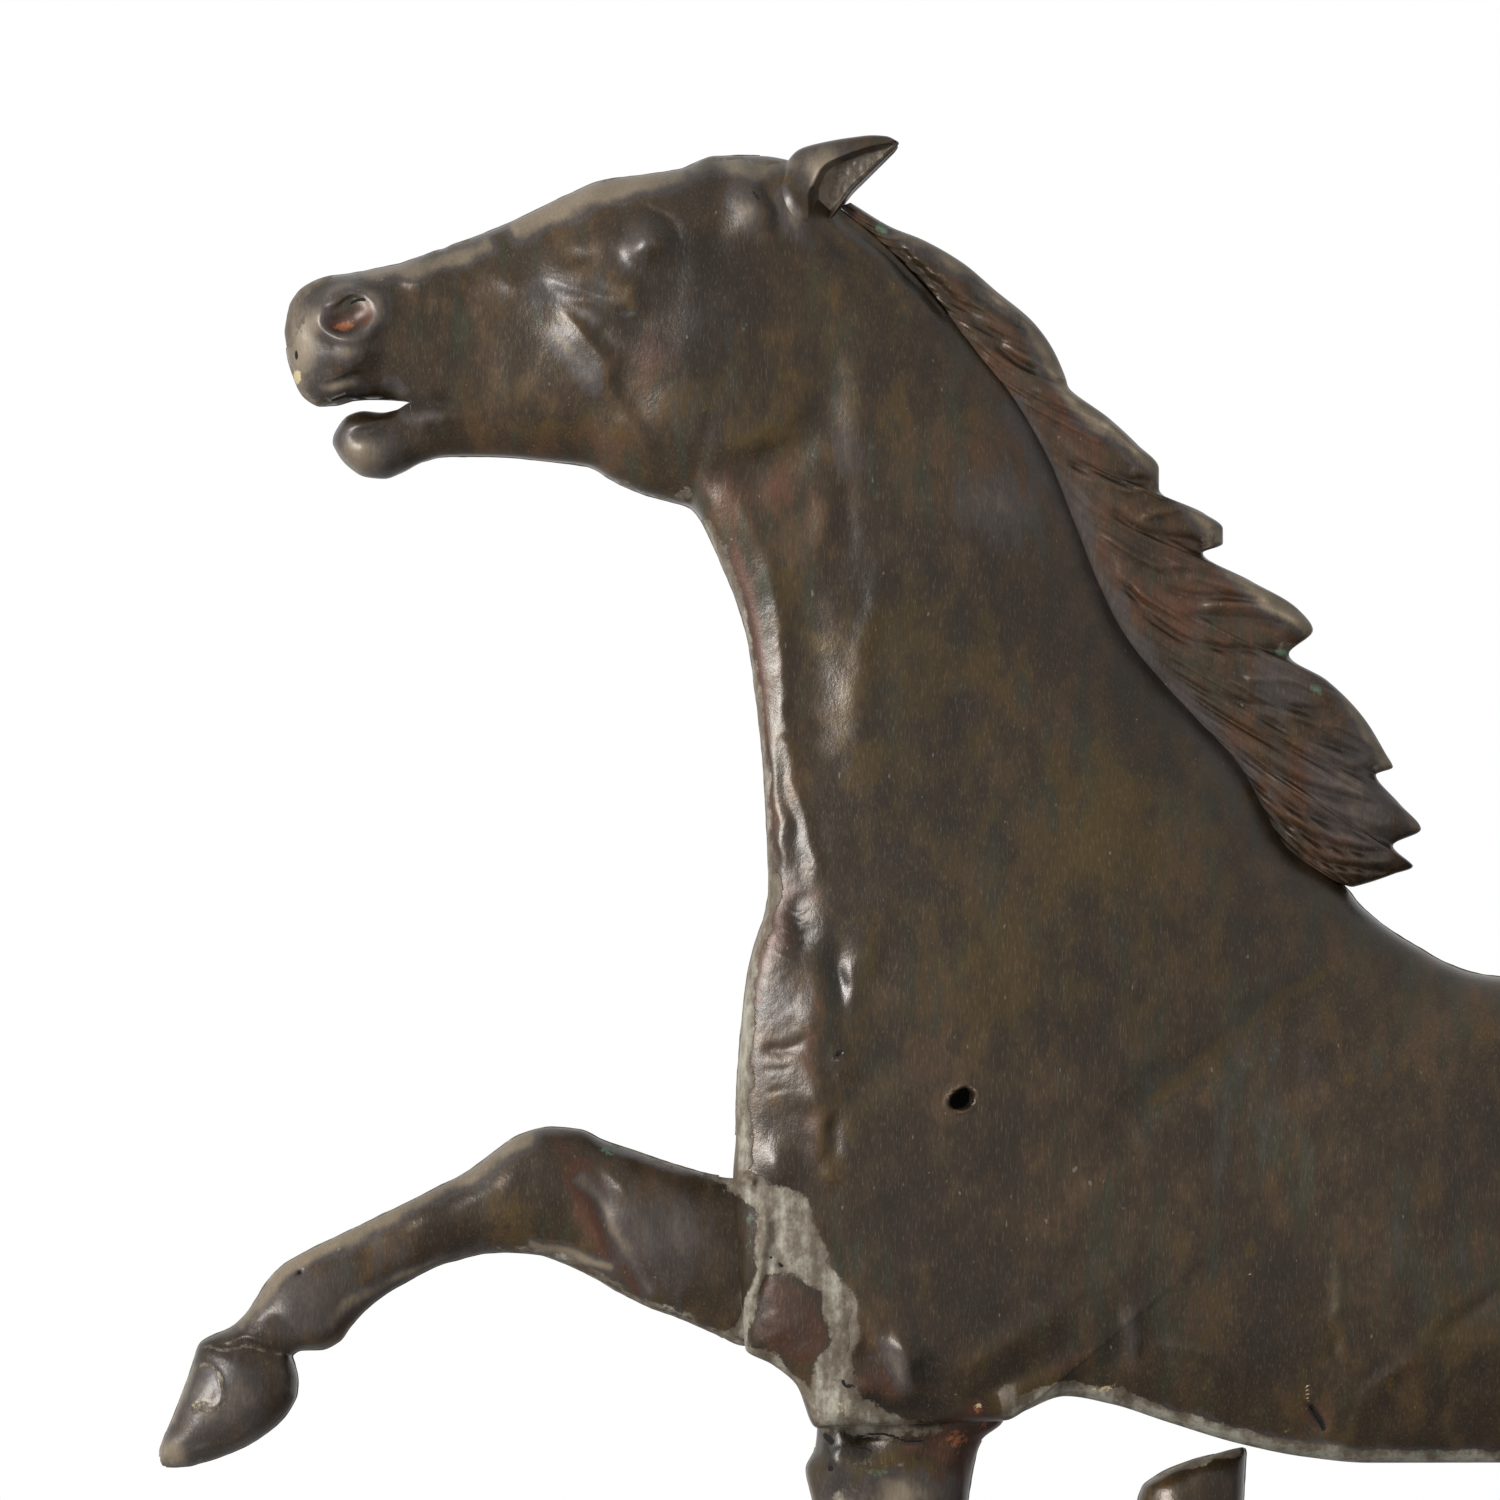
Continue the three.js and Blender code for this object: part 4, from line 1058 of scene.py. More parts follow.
    damage: tuple[Shape, ...] = (
        Spot(960, 1095.5, 8.6, 8.6, -26, 0, 7), Ring(960, 1095.5, 11, 11, 3, 1.6),
        # Creases of the neck and chest
        Line((776, 736, 792, 740, 812, 736), -1.2, 4, 4, 0.4),
        Line((776, 888, 796, 896, 818, 892), -0.9, 7, 10, 0.45),
        Line((784, 905, 800, 911, 815, 902), 0.5, 2.4, 2.4, 0.45),
        Line((792, 917, 803, 921, 812, 914), 0.5, 2.4, 2.4, 0.45),
        Line((778, 926, 793, 932, 808, 924), 0.5, 2.4, 2.4, 0.45),
        Line((782, 941, 792, 944, 803, 938), 0.5, 2.4, 2.4, 0.45),
        Line((772, 950, 788, 956, 800, 950), 0.5, 2.4, 2.4, 0.45),
        Line((850, 902, 861, 932, 864, 956, 852, 982, 848, 1004, 855, 1026, 861, 1048), 1.9, 10, 13,
            0.42),
        Line((872, 914, 884, 938, 882, 966, 870, 992, 874, 1034), -1.2, 18, 10, 0.45),
        Line((832, 936, 838, 975, 832, 1016), -2, 9, 9, 0.45),
        Line((830, 1030, 842, 1058, 854, 1094), 4.6, 7, 13, 0.45), Line((835, 1052, 842, 1046), -4, 2.4),
        Line((814, 1050, 822, 1088, 824, 1124, 812, 1176), 5, 6, 15, 0.4),
        Line((832, 1096, 834, 1130, 828, 1166), -2.5, 8, 8, 0.45),
        Line((754, 1046, 782, 1046, 808, 1036), -2, 6, 8, 0.45),
        Line((756, 1066, 776, 1069, 798, 1062), -0.6, 3, 3, 0.45),
        Line((758, 1088, 776, 1091, 792, 1084), -0.6, 3, 3, 0.45), Spot(780, 1162, 15, 19, 4),
        Spot(830, 1168, 12, 11, 3),
        # Flank
        Line((1312, 884, 1306, 916, 1302, 950), 3, 7, 10, 0.45),
        Line((1122, 1276, 1130, 1316, 1132, 1350, 1124, 1388), 3.2, 6, 11, 0.45),
        Line((1108, 1270, 1110, 1330, 1104, 1380), -2, 12, 12, 0.45),
        Line((1334, 1226, 1333, 1280, 1336, 1330, 1346, 1366), 3, 5, 8, 0.45),
        Line((1326, 1300, 1328, 1350, 1340, 1384), -2.5, 8, 6, 0.45),
        Line((1336, 1462, 1352, 1412, 1378, 1374, 1416, 1340, 1440, 1318), 2.2, 8, 9, 0.45),
        Line((1424, 1344, 1448, 1318, 1476, 1298, 1520, 1272), -1.8, 8, 9, 0.4),
        Line((1140, 1338, 1180, 1344, 1220, 1352), 1.6, 6, 6, 0.45),
        Line((1304, 1392, 1312, 1410, 1322, 1432), -6, 3), Spot(1322, 1424, 11, 18, 3),
        # Armpit
        Line((890, 1316, 904, 1348, 924, 1392), 10, 9, 14, 0.4),
        Line((854, 1330, 870, 1370, 896, 1402), -3, 9, 10, 0.4),
        Line((908, 1344, 926, 1374, 936, 1404), -4, 14, 12, 0.4),
        Line((836, 1394, 872, 1402, 912, 1404, 960, 1410), -6, 12, 10, 0.35),
        Line((930, 1384, 980, 1354, 1050, 1306, 1090, 1272), 3, 16, 16, 0.4),
        Line((950, 1404, 1010, 1376, 1080, 1326), -3, 14, 14, 0.4), Spot(1010, 1396, 15, 17, 6),
        Line((862, 1290, 872, 1318, 880, 1350), 3.5, 10, 12, 0.4), Spot(866, 1412, 20, 12, 4),
        # Shoulder joint
        Line((727, 1184, 742, 1180, 758, 1184), 7, 6, 5, 0.2),
        Line((760, 1190, 764, 1216, 762, 1250, 751, 1290, 734, 1322), 5, 6, 6, 0.2),
        Line((776, 1212, 778, 1250, 770, 1268), -3, 6),
        Line((800, 1196, 822, 1230, 836, 1266, 858, 1296, 856, 1340, 850, 1372), 2.5, 6, 9, 0.2),
        Spot(781, 1262, 5, 5, -6), Spot(771, 1254, 4, 3, -4), Spot(829, 1466, 5, 5, -2),
        # Folds and dents of the raised leg
        Spot(693, 1222, 24, 28, 2), Spot(301, 1271, 3, 3, -5),
        Line((624, 1146, 634, 1150, 640, 1160), 3, 5),
        # Torn solder under the chest
        Line((817, 1426, 832, 1437, 839, 1450), -2, 6, 7, 0.2), Spot(834, 1454, 17, 26, 9, 0, 2),
        Line((846, 1439, 868, 1432, 888, 1434, 912, 1440, 932, 1440), -3, 3, 3, 0.2),
        Spot(880, 1452, 30, 12, 1.2, 10), Spot(930, 1424, 16, 10, 4), Spot(868, 1476, 30, 16, 1.2),
        Spot(918, 1476, 38, 16, 1.5),
    )


@dataclass(frozen=True)
class LeftMarks:
    """What lies on the copper in the photograph, as soft fields in pixels, painted light among them. The dark
    ones are painted shade, laid with that of the hollows.
    """

    solder: tuple[Shape, ...] = (
        # The seam down the nose, round the lips and along the jaw
        Line((288, 344, 293, 308, 306, 290, 326, 278), 0.85, 9, 0, 0), Spot(303, 316, 7, 26, 0.72, 8),
        Line((290, 372, 304, 396, 324, 403, 350, 400), 0.62, 8, 0, 0),
        Line((353, 277, 390, 277, 434, 273, 470, 258), 0.4, 9, 0, 0.2),
        Line((386, 266, 440, 249, 500, 224, 560, 195, 606, 178, 660, 170), 0.5, 4, 0, 0.05),
        Line((434, 457, 500, 459, 560, 465, 589, 469), 0.52, 4, 0, 0.1),
        Line((586, 468, 640, 492, 690, 508), 0.5, 7, 0, 0.1), Spot(686, 496, 16, 11, 0.7),
        # The seam down the front of the neck and chest
        Line((698, 514, 718, 552, 736, 600, 750, 660, 760, 740, 766, 820, 770, 888, 767, 912), 0.82, 9, 0,
            0.03),
        Line((771, 866, 770, 888, 762, 920, 748, 960, 743, 1010, 741, 1070, 740, 1130, 738, 1176), 1.1,
            12, 0, 0.03),
        Line((752, 930, 764, 940, 770, 960), 0.5, 9),
        # The shoulder joint
        Spot(744, 1184, 22, 12, 1.1), Line((700, 1172, 730, 1180, 756, 1190), 0.8, 8, 6, 0.1),
        Area((722, 1172, 762, 1172, 806, 1196, 822, 1228, 828, 1262, 858, 1294, 858, 1326, 850, 1374, 868,
            1400, 916, 1418, 900, 1436, 824, 1430, 806, 1386, 820, 1352, 830, 1338, 822, 1288, 792, 1272,
            764, 1270, 756, 1304, 748, 1342, 732, 1334, 744, 1300, 756, 1262, 756, 1210), 1.0, 8),
        Line((690, 1326, 730, 1340, 770, 1358, 806, 1390, 822, 1426), 0.8, 9, 0, 0.1),
        Spot(925, 1424, 26, 14, 0.62), Spot(880, 1460, 44, 10, 0.5), Spot(850, 1490, 30, 16, 0.45),
        Spot(1008, 1398, 16, 24, 0.85),
        # The belly seam
        Line((1004, 1418, 1022, 1402, 1064, 1388, 1110, 1396, 1166, 1414, 1239, 1436, 1303, 1450, 1367,
            1457, 1440, 1457, 1510, 1457), 1.5, 10, 0, 0.02),
        Line((1062, 1388, 1090, 1384, 1124, 1392), 0.6, 10),
        Line((1510, 1457, 1580, 1453, 1640, 1444, 1694, 1434), 0.7, 8, 0, 0.02),
        # The raised leg's lower seam and hoof
        Line((712, 1328, 648, 1302, 590, 1271, 538, 1251, 487, 1249), 0.58, 9, 0, 0.05),
        Spot(836, 1396, 24, 30, 1.7), Line((605, 1141, 632, 1150, 660, 1161, 700, 1172), 0.45, 6, 0, 0.1),
        Line((196, 1364, 213, 1365, 226, 1376, 228, 1394, 216, 1408), 0.62, 4, 0, 0.1),
        Spot(258, 1322, 12, 18, 0.56, 20), Spot(203, 1406, 17, 11, 0.62),
        Line((250, 1308, 284, 1262, 334, 1236, 400, 1204, 470, 1168, 520, 1134), 0.44, 4, 0, 0.1),
        Line((176, 1420, 166, 1446, 178, 1462, 216, 1456), 0.5, 5, 0, 0.1),
        Line((196, 1347, 240, 1345, 292, 1354), 0.55, 4, 0, 0.1),
        # The poll and the ear
        Line((695, 162, 740, 160, 790, 166), 0.55, 6, 0, 0.1), Spot(838, 200, 16, 14, 0.62),
        Line((850, 180, 868, 166, 884, 152), 0.5, 7, 0, 0.1),
        # Tips of the mane
        Spot(1152, 488, 12, 10, 0.62), Spot(1207, 545, 12, 12, 0.82), Spot(1213, 556, 8, 12, 0.7),
        Spot(1288, 650, 16, 9, 0.8), Spot(1306, 664, 10, 8, 0.62), Spot(1380, 770, 10, 9, 0.62),
        Spot(1396, 846, 8, 14, 0.6),
        # Folded leg
        Spot(842, 1500, 22, 20, 0.6),
        Line((1150, 1472, 1176, 1468, 1216, 1457, 1246, 1449), 0.8, 7, 0, 0.05),
    )
    verdigris: tuple[Shape, ...] = (
        Spot(748, 326, 9, 12, 0.58), Spot(712, 403, 12, 12, 0.46), Spot(881, 228, 14, 8, 0.72, 30),
        Spot(1284, 653, 12, 6, 0.85), Spot(1314, 690, 12, 8, 0.62, 30), Spot(1202, 548, 9, 16, 0.42),
        Line((550, 1238, 591, 1256, 626, 1274), 0.3, 9, 0, 0.1), Spot(611, 1148, 16, 7, 0.62),
        Line((749, 1206, 748, 1248), 0.5, 8, 0, 0.1), Spot(1105, 1395, 26, 6, 0.45),
        Line((1120, 1396, 1200, 1424, 1260, 1440, 1320, 1450, 1480, 1450), 0.46, 9, 0, 0.1),
        Spot(884, 1470, 40, 12, 0.5), Spot(920, 1486, 30, 14, 0.45),
    )
    red: tuple[Shape, ...] = (
        Line((724, 530, 744, 580, 758, 640, 764, 740, 770, 820, 780, 880), 0.9, 7, 9, 0.1),
        Spot(778, 925, 22, 40, 0.9),
        Line((800, 960, 812, 1000, 806, 1060, 800, 1130, 796, 1170), 0.4, 9, 9, 0.2),
        Line((774, 876, 768, 920, 758, 960, 752, 1010), 1.15, 9, 0, 0.1), Spot(790, 892, 26, 14, 0.9),
        Spot(806, 1126, 14, 44, 0.5),
        Area((764, 1276, 792, 1276, 820, 1292, 828, 1338, 822, 1350, 780, 1358, 757, 1336, 759, 1306),
            0.9, 9),
        Line((568, 1146, 590, 1200, 620, 1250, 654, 1304), 1.28, 17, 15, 0.12),
        Spot(560, 1146, 24, 14, 0.7, 20), Spot(876, 1374, 26, 26, 1.0, 40),
        Line((892, 1444, 930, 1450, 960, 1460), 1.2, 8, 8, 0.2), Spot(956, 1436, 38, 24, 1.66),
        Spot(982, 1424, 20, 10, 1.6, -20), Spot(904, 1420, 8, 7, 1.9), Spot(976, 1406, 11, 11, 1.8),
        Spot(1404, 1364, 5, 6, 0.9), Spot(945, 1482, 30, 20, 0.9), Spot(570, 440, 70, 22, 0.5),
        Spot(760, 488, 60, 26, 0.6), Spot(650, 352, 40, 30, 0.6), Spot(1010, 460, 60, 60, 0.35),
        Spot(1160, 560, 70, 40, 0.55, 25), Spot(1260, 700, 80, 34, 0.55, 30),
        Spot(1080, 430, 60, 30, 0.7, 35), Spot(1330, 780, 80, 50, 0.8, 30),
        Spot(240, 1452, 50, 8, 0.9, -18), Spot(347, 328, 20, 10, 1.95, -6), Spot(364, 322, 12, 12, 1.2),
        Spot(1005, 1330, 6, 40, 0.5), Spot(1460, 960, 60, 16, 0.6, 20), Spot(1310, 1410, 14, 14, 0.7),
        Spot(1060, 1360, 22, 10, 0.9, -20), Spot(820, 1400, 20, 14, 0.6),
    )
    ochre: tuple[Shape, ...] = (
        Spot(702, 400, 30, 26, 0.5), Spot(787, 583, 14, 20, 1.1), Spot(702, 408, 7, 6, 1.8),
        Spot(550, 428, 12, 8, 1.4), Spot(614, 434, 10, 8, 1.3), Spot(802, 170, 28, 20, 1.3),
        Line((520, 1240, 560, 1248, 600, 1262, 630, 1276), 1.4, 7, 0, 0.1), Spot(876, 640, 24, 24, 0.9),
        Spot(967, 419, 16, 14, 0.9), Spot(930, 690, 100, 120, 0.6), Spot(1100, 860, 120, 130, 0.75),
        Spot(980, 980, 110, 100, 0.55), Spot(1160, 760, 60, 60, 0.5),
        Line((1345, 952, 1290, 990, 1225, 1040, 1130, 1112), 1.0, 9, 0, 0.15),
        Spot(1245, 1243, 5, 7, 1.7), Spot(1345, 1077, 5, 6, 1.9), Spot(1030, 1382, 44, 14, 1.1, -28),
        Spot(1385, 1378, 6, 10, 1.5), Spot(1450, 1330, 60, 60, 0.5), Spot(890, 1480, 60, 30, 1.4),
        Spot(560, 430, 60, 20, 0.6), Spot(760, 440, 50, 24, 0.4),
    )
    # Grey tint and pale film: partly worn patina, partly painted highlight and sheen, as on the top of the
    # nose and head, the upper edge of the raised leg, the cheek band, the bulge under the nostril and the
    # brow folds
    grey_film_and_sheen: tuple[Shape, ...] = (
        Spot(304, 350, 24, 62, 2.4, 6, 2.4), Spot(342, 387, 28, 9, 2.4), Spot(822, 168, 34, 28, 2.1),
        Spot(842, 1490, 24, 30, 1.6), Spot(900, 1494, 56, 26, 2.1),
        Line((866, 232, 893, 230, 963, 266, 1033, 326, 1066, 388, 1136, 448, 1200, 515, 1248, 582, 1310,
            630, 1362, 720, 1392, 768, 1418, 830, 1412, 866), 2.4, 9, 13, 0.05),
        Ring(350, 315, 32, 27, 8, 1.3, -14), Spot(350, 356, 16, 12, 1.9),
        Line((350, 272, 390, 272, 430, 268, 468, 256, 500, 242), 2.3, 15, 12, 0.1),
        Line((500, 240, 548, 214, 600, 192, 650, 180, 700, 168), 2.6, 18, 16, 0.1),
        Spot(740, 168, 80, 15, 2.3), Line((376, 384, 396, 388, 412, 396), 1.3, 8, 8, 0.2),
        Line((392, 418, 420, 419, 452, 419), 1.4, 9, 9, 0.3), Spot(362, 456, 40, 34, 2.1),
        Line((700, 170, 730, 164, 780, 170), 2.2, 10, 9, 0.2), Spot(646, 240, 22, 22, 1.1),
        Spot(630, 314, 8, 5, 1.7), Spot(742, 208, 15, 32, 1.7, -24), Spot(790, 214, 13, 36, 1.6, -24),
        Spot(712, 323, 46, 34, 0.7), Spot(992, 515, 44, 50, 0.9), Spot(640, 250, 50, 36, 0.7),
        Spot(560, 292, 60, 20, 0.8),
        Line((546, 316, 562, 340, 580, 362, 596, 386, 606, 408), 1.5, 12, 16, 0.3),
        Line((572, 312, 588, 320, 602, 330), 1.3, 9, 9, 0.3),
        Line((1000, 388, 1057, 488, 1105, 600, 1179, 702, 1260, 790), 0.9, 16, 0, 0.05),
        Spot(1310, 1070, 60, 60, 0.5), Spot(1200, 1150, 40, 50, 0.4), Spot(600, 1180, 16, 34, 0.7, -30),
        Spot(222, 1392, 60, 50, 1.35),
        Line((256, 1298, 284, 1266, 334, 1240, 400, 1207, 470, 1171, 520, 1138, 556, 1130), 2.7, 12, 13,
            0.1),
        Line((575, 1165, 600, 1200, 628, 1250, 656, 1304), 1.5, 9, 8, 0.1),
        Line((520, 1240, 570, 1252, 620, 1270), 2.2, 7, 7, 0.1),
        Line((240, 1332, 262, 1296, 290, 1268), 2.2, 9, 10, 0.1),
        Line((606, 1140, 650, 1156, 700, 1172), 1.8, 8, 8, 0.2),
        Line((310, 1346, 350, 1302, 414, 1272, 470, 1254, 530, 1250), 1.7, 9, 9, 0.2),
        Spot(300, 1300, 60, 40, 1.0, -30), Spot(676, 1236, 60, 60, 1.0),
        Line((196, 1352, 182, 1386, 168, 1430), 2.2, 10, 8, 0.15), Spot(178, 1450, 30, 22, 1.8),
        Spot(256, 1320, 14, 18, 1.7, 20),
        Line((1088, 1400, 1166, 1410, 1240, 1432, 1310, 1446, 1400, 1452, 1510, 1452), 2.0, 9, 9, 0.05),
        Line((712, 546, 738, 620, 752, 700, 760, 800), 1.3, 8, 8, 0.1), Spot(846, 452, 18, 40, 0.9),
        Spot(1356, 800, 50, 84, 1.2, -30), Spot(1290, 690, 40, 40, 1.0), Spot(700, 400, 90, 60, 0.3),
        Spot(780, 1010, 22, 50, 0.8), Spot(770, 1070, 18, 30, 0.8), Spot(1128, 1336, 9, 44, 0.9),
        Spot(896, 1360, 11, 30, 1.7, -28), Spot(420, 1240, 90, 24, 0.5, -25),
    )
    # Painted shade: near-black in the holes, slits, cracks and creases
    black: tuple[Shape, ...] = (
        Spot(960, 1095.5, 7.6, 7.6, 1.6, 0, 6), Line((834, 1052, 838, 1049, 843, 1045), 1.0, 1.6, 0, 0.1),
        Line((348, 308, 358, 304.5, 369, 302), 1.0, 1.7, 0, 0.1), Spot(296, 357, 2.5, 8, 0.8),
        Line((400, 402, 380, 398, 353, 397, 326, 403), 0.7, 2.5, 0, 0.1), Spot(781, 1262, 4, 4, 1.0),
        Spot(771, 1254, 3, 2.5, 0.8), Line((819, 1428, 831, 1437, 838, 1449), 0.8, 4, 5, 0.4),
        Line((846, 1438, 868, 1431, 888, 1433, 906, 1439, 930, 1438), 0.9, 1.6, 0, 0.1),
        Line((850, 1444, 862, 1445, 874, 1451), 0.9, 1.8, 0, 0.1),
        Line((840, 1371, 846, 1378, 857, 1378), 1.0, 2.2, 0, 0.1), Spot(866, 1396, 26, 6, 0.4),
        Spot(829, 1466, 4.5, 4, 1.0), Spot(301, 1271, 2.4, 2.4, 1.1),
        Line((1306, 1396, 1314, 1412, 1320, 1430), 1.0, 2.6, 0, 0.1),
        Line((1152, 1464, 1180, 1460, 1206, 1452), 0.8, 2.6, 0, 0.1),
        Line((751, 192, 755, 198, 758, 204), 0.8, 1.6, 0, 0.1),
    )
    # Painted shade: broad darkening of the neck, flank and cheek away from the light, and dark lines and
    # pools in creases, round the eye and in the torn hollow under the chest
    dark: tuple[Shape, ...] = (
        Spot(930, 720, 90, 300, 1.2, -6), Spot(1004, 830, 84, 150, 1.3), Spot(1040, 760, 90, 120, 1.1),
        Spot(900, 1020, 90, 200, 1.1), Spot(1080, 700, 110, 160, 0.7, -25),
        Spot(1120, 1000, 220, 200, 1.0), Line((753, 178, 767, 208, 776, 242), 1.4, 4, 4, 0.2),
        Line((795, 202, 814, 226, 858, 277), 1.2, 3, 4, 0.2), Spot(716, 312, 56, 60, 1.4),
        Spot(712, 398, 50, 60, 0.9), Spot(712, 470, 44, 30, 0.8),
        Line((678, 226, 686, 250, 681, 276, 664, 298), 1.4, 9, 9, 0.2), Spot(838, 1446, 24, 20, 1.6),
        Spot(858, 1456, 16, 16, 1.2), Spot(792, 1316, 34, 44, 1.1), Spot(1180, 1290, 260, 130, 0.8),
        Spot(1440, 1200, 140, 220, 1.0), Spot(664, 340, 52, 38, 1.5), Spot(672, 285, 20, 32, 1.3),
        Spot(790, 640, 14, 70, 1.0), Spot(826, 960, 12, 60, 1.3), Spot(798, 926, 24, 34, 1.3),
        Spot(430, 345, 44, 36, 0.9), Spot(890, 1400, 60, 12, 1.0),
    )
    pale: tuple[Shape, ...] = (
        Spot(298, 380, 6, 7, 1.0), Spot(977, 1403, 3.4, 4, 0.9), Spot(1245, 1268, 2, 3, 0.9),
        Spot(867, 1418, 24, 10, 0.44), Spot(1100, 1384, 22, 5, 0.62), Spot(199, 1402, 10, 8, 0.5),
        Line((1302, 1378, 1303, 1386, 1304, 1396), 0.8, 1.6, 0, 0.1), Spot(840, 1404, 20, 20, 0.42),
    )

    def fields(self, x: np.ndarray, y: np.ndarray, side: Side) -> np.ndarray:
        """Returns each mark's strength at each pixel, one layer for each Mark; holes are on the left only."""
        layers = np.zeros((len(Mark), *x.shape))
        for mark, shapes in (
            (Mark.SOLDER, self.solder),
            (Mark.VERDIGRIS, self.verdigris),
            (Mark.RED, self.red),
            (Mark.OCHRE, self.ochre),
            (Mark.GREY_FILM_AND_SHEEN, self.grey_film_and_sheen),
            (Mark.BLACK, self.black),
            (Mark.PALE, self.pale),
            # The dark fields are painted shade, added to that of the hollows
            (Mark.PAINTED_SHADE, self.dark),
        ):
            if side is Side.LEFT or mark not in (Mark.BLACK, Mark.PALE):
                layers[mark] = gathered(shapes, x, y, highest=True)
        return layers


RELIEFS = Reliefs()
MARKS = LeftMarks()


@dataclass(frozen=True)
class FormedSheet:
    """How one half is raised from its ribs.

    A rib's height is half * (4s(1 - s))^(1 / fullness), where s is the share of the way across it, and the
    share starts late enough that the height at an edge is the one that the rib gives. With plain edges it
    rises straight from one edge's height to the other's instead, and the arch stands on that.

    The edge cosine crowds the columns towards the edges. Relief fades out over the edge fade, which is in
    pixels, as wobble, the height of the sheet's own waves, and wander, their reach sideways, are.
    """

    table: RibTable
    fullness: float
    edge_cosine: float = 0.9
    spread: float = 0.0
    edge_fade: float = 8.0
    wobble: float = 0.8
    plain_edges: bool = False
    wander: float = 1.7
    wander_length: float = 44
    wobble_length: float = 52
    pucker_length: float = 15

    def lean(self, shares: np.ndarray) -> np.ndarray:
        """Returns how far the middle plane has moved out at each row, growing as 3s^2 - 2s^3."""
        return self.spread * eased(shares)

    def raise_grid(self, shares: np.ndarray, columns: int, side: Side) -> SheetGrid:
        """Raises the half over a grid of rows and columns.

        Args:
            shares: the rows' places along the piece.
            columns: how many points each row has.
            side: which half it is.

        Returns:
            The grid, with its marks.
        """
        rows = self.table.rows(shares)
        v = np.linspace(0, 1, columns)[None, :]
        s = self.edge_cosine * (1 - np.cos(np.pi * v)) / 2 + (1 - self.edge_cosine) * v
        lower_x, lower_y, upper_x, upper_y, half, low, high = (rows[:, [column]] for column in range(7))
        x = lower_x + (upper_x - lower_x) * s
        y = lower_y + (upper_y - lower_y) * s
        fullness = np.maximum(rows[:, [7]] + (rows[:, [8]] - rows[:, [7]]) * eased(s), self.fullness)
        if self.plain_edges:
            edge = low + (high - low) * s
            height = edge + (half - edge) * (4 * s * (1 - s)) ** (1 / self.fullness)
        else:
            start, end = (
                (1 - np.sqrt(1 - np.clip(edge / half, 0, 0.999) ** np.maximum(full, self.fullness))) / 2
                for edge, full in ((low, rows[:, [7]]), (high, rows[:, [8]]))
            )
            moved = start + (1 - start - end) * s
            height = half * np.clip(4 * moved * (1 - moved), 0, 1) ** (1 / fullness)
        length = np.hypot(upper_x - lower_x, upper_y - lower_y)
        to_edge = np.minimum(s, 1 - s) * length
        across = x + self.wander * ripple(x, y, self.wander_length, 51)
        down = y + self.wander * ripple(x, y, self.wander_length, 52)
        worked = gathered(RELIEFS.both, across, down)
        if side is Side.LEFT:
            worked += gathered(RELIEFS.damage, across, down)
            worked += gathered(RELIEFS.puckered, across, down) * ripple(1.3 * x, y, self.pucker_length, 71)
        worked += self.wobble * ripple(x, y, self.wobble_length, 5 + side.value)
        worked *= eased(to_edge / self.edge_fade)
        marks = MARKS.fields(across, down, side)
        # Over the steep edge of neck and chest the solder thins out from the left rim to the right one
        steep = eased((fullness - 5) / 3) * (s < 0.5)
        kept = np.interp(side.value * height / half, (-0.5, 0, 0.5), (1.0, 0.6, 0.0))
        marks[Mark.SOLDER] *= 1 - (1 - kept) * steep
        # Crests of the worked relief get rubbed wear and painted highlight, its hollows painted shade
        bent = (worked - blurred(worked, max(2, columns // 40))) / FORM_DEPTH
        marks[Mark.CREST_WEAR_AND_HIGHLIGHT] = np.clip(bent, 0, 1)
        marks[Mark.PAINTED_SHADE] += np.clip(-bent, 0, 1)
        return SheetGrid(x, y, np.maximum(height + worked, 0), side, self.lean(shares), marks)


BODY_HEAD: tuple[Rib, ...] = (
    (284.6, 334, 284.6, 330, 1), (286, 342, 286, 322, 13), (289, 362, 290, 306, 26),
    (295, 380, 300, 291, 37), (304, 396, 315, 281, 43), (320, 406, 332, 276, 47),
    (336, 405, 350, 274, 50), (354, 400, 370, 270, 51), (382, 399, 400, 264, 51),
)
BODY_CHEEK: tuple[Rib, ...] = (
    (440, 457, 470, 239, 51), (470, 456, 500, 227, 52), (505, 457, 535, 211, 55),
    (545, 461, 570, 194, 60), (586, 466, 606, 180, 66), (612, 480, 645, 175, 72),
    (640, 493, 682, 169, 76), (668, 501, 715, 156.5, 78), (689, 507, 760, 156, 78),
)
BODY_NECK: tuple[Rib, ...] = (
    (696, 513, 787, 160, 78, 0, 4), (702, 522, 812, 180, 77, 0, 12), (709, 536, 838, 207, 76, 0, 20),
    (717, 553, 874, 237, 75, 0, 25), (725, 572, 919, 282, 74, 0, 26), (735, 596, 951, 320, 74, 0, 26),
    (743, 620, 976, 352, 74, 0, 26), (749, 645, 1011, 396, 75, 0, 26), (754, 680, 1047, 458, 77, 0, 26),
    (759, 720, 1075, 526, 80, 0, 26), (763, 760, 1097, 582, 84, 0, 26), (766, 805, 1124, 635, 88, 0, 26),
    (768, 850, 1160, 680, 93, 0, 26), (769, 890, 1204, 727, 98, 0, 26), (764, 918, 1236, 762, 102, 0, 26),
    (755, 943, 1261, 804, 105, 0, 24), (746, 985, 1280, 838, 107, 0, 22),
    (741, 1035, 1300, 857, 108, 0, 18), (737, 1085, 1318, 867, 108, 0, 10),
    (736, 1135, 1334, 878, 108, 0, 0),
)
BODY_CHEST: tuple[Rib, ...] = (
    (772, 1362, 1434, 957, 110), (795, 1381, 1446, 963, 110),
)
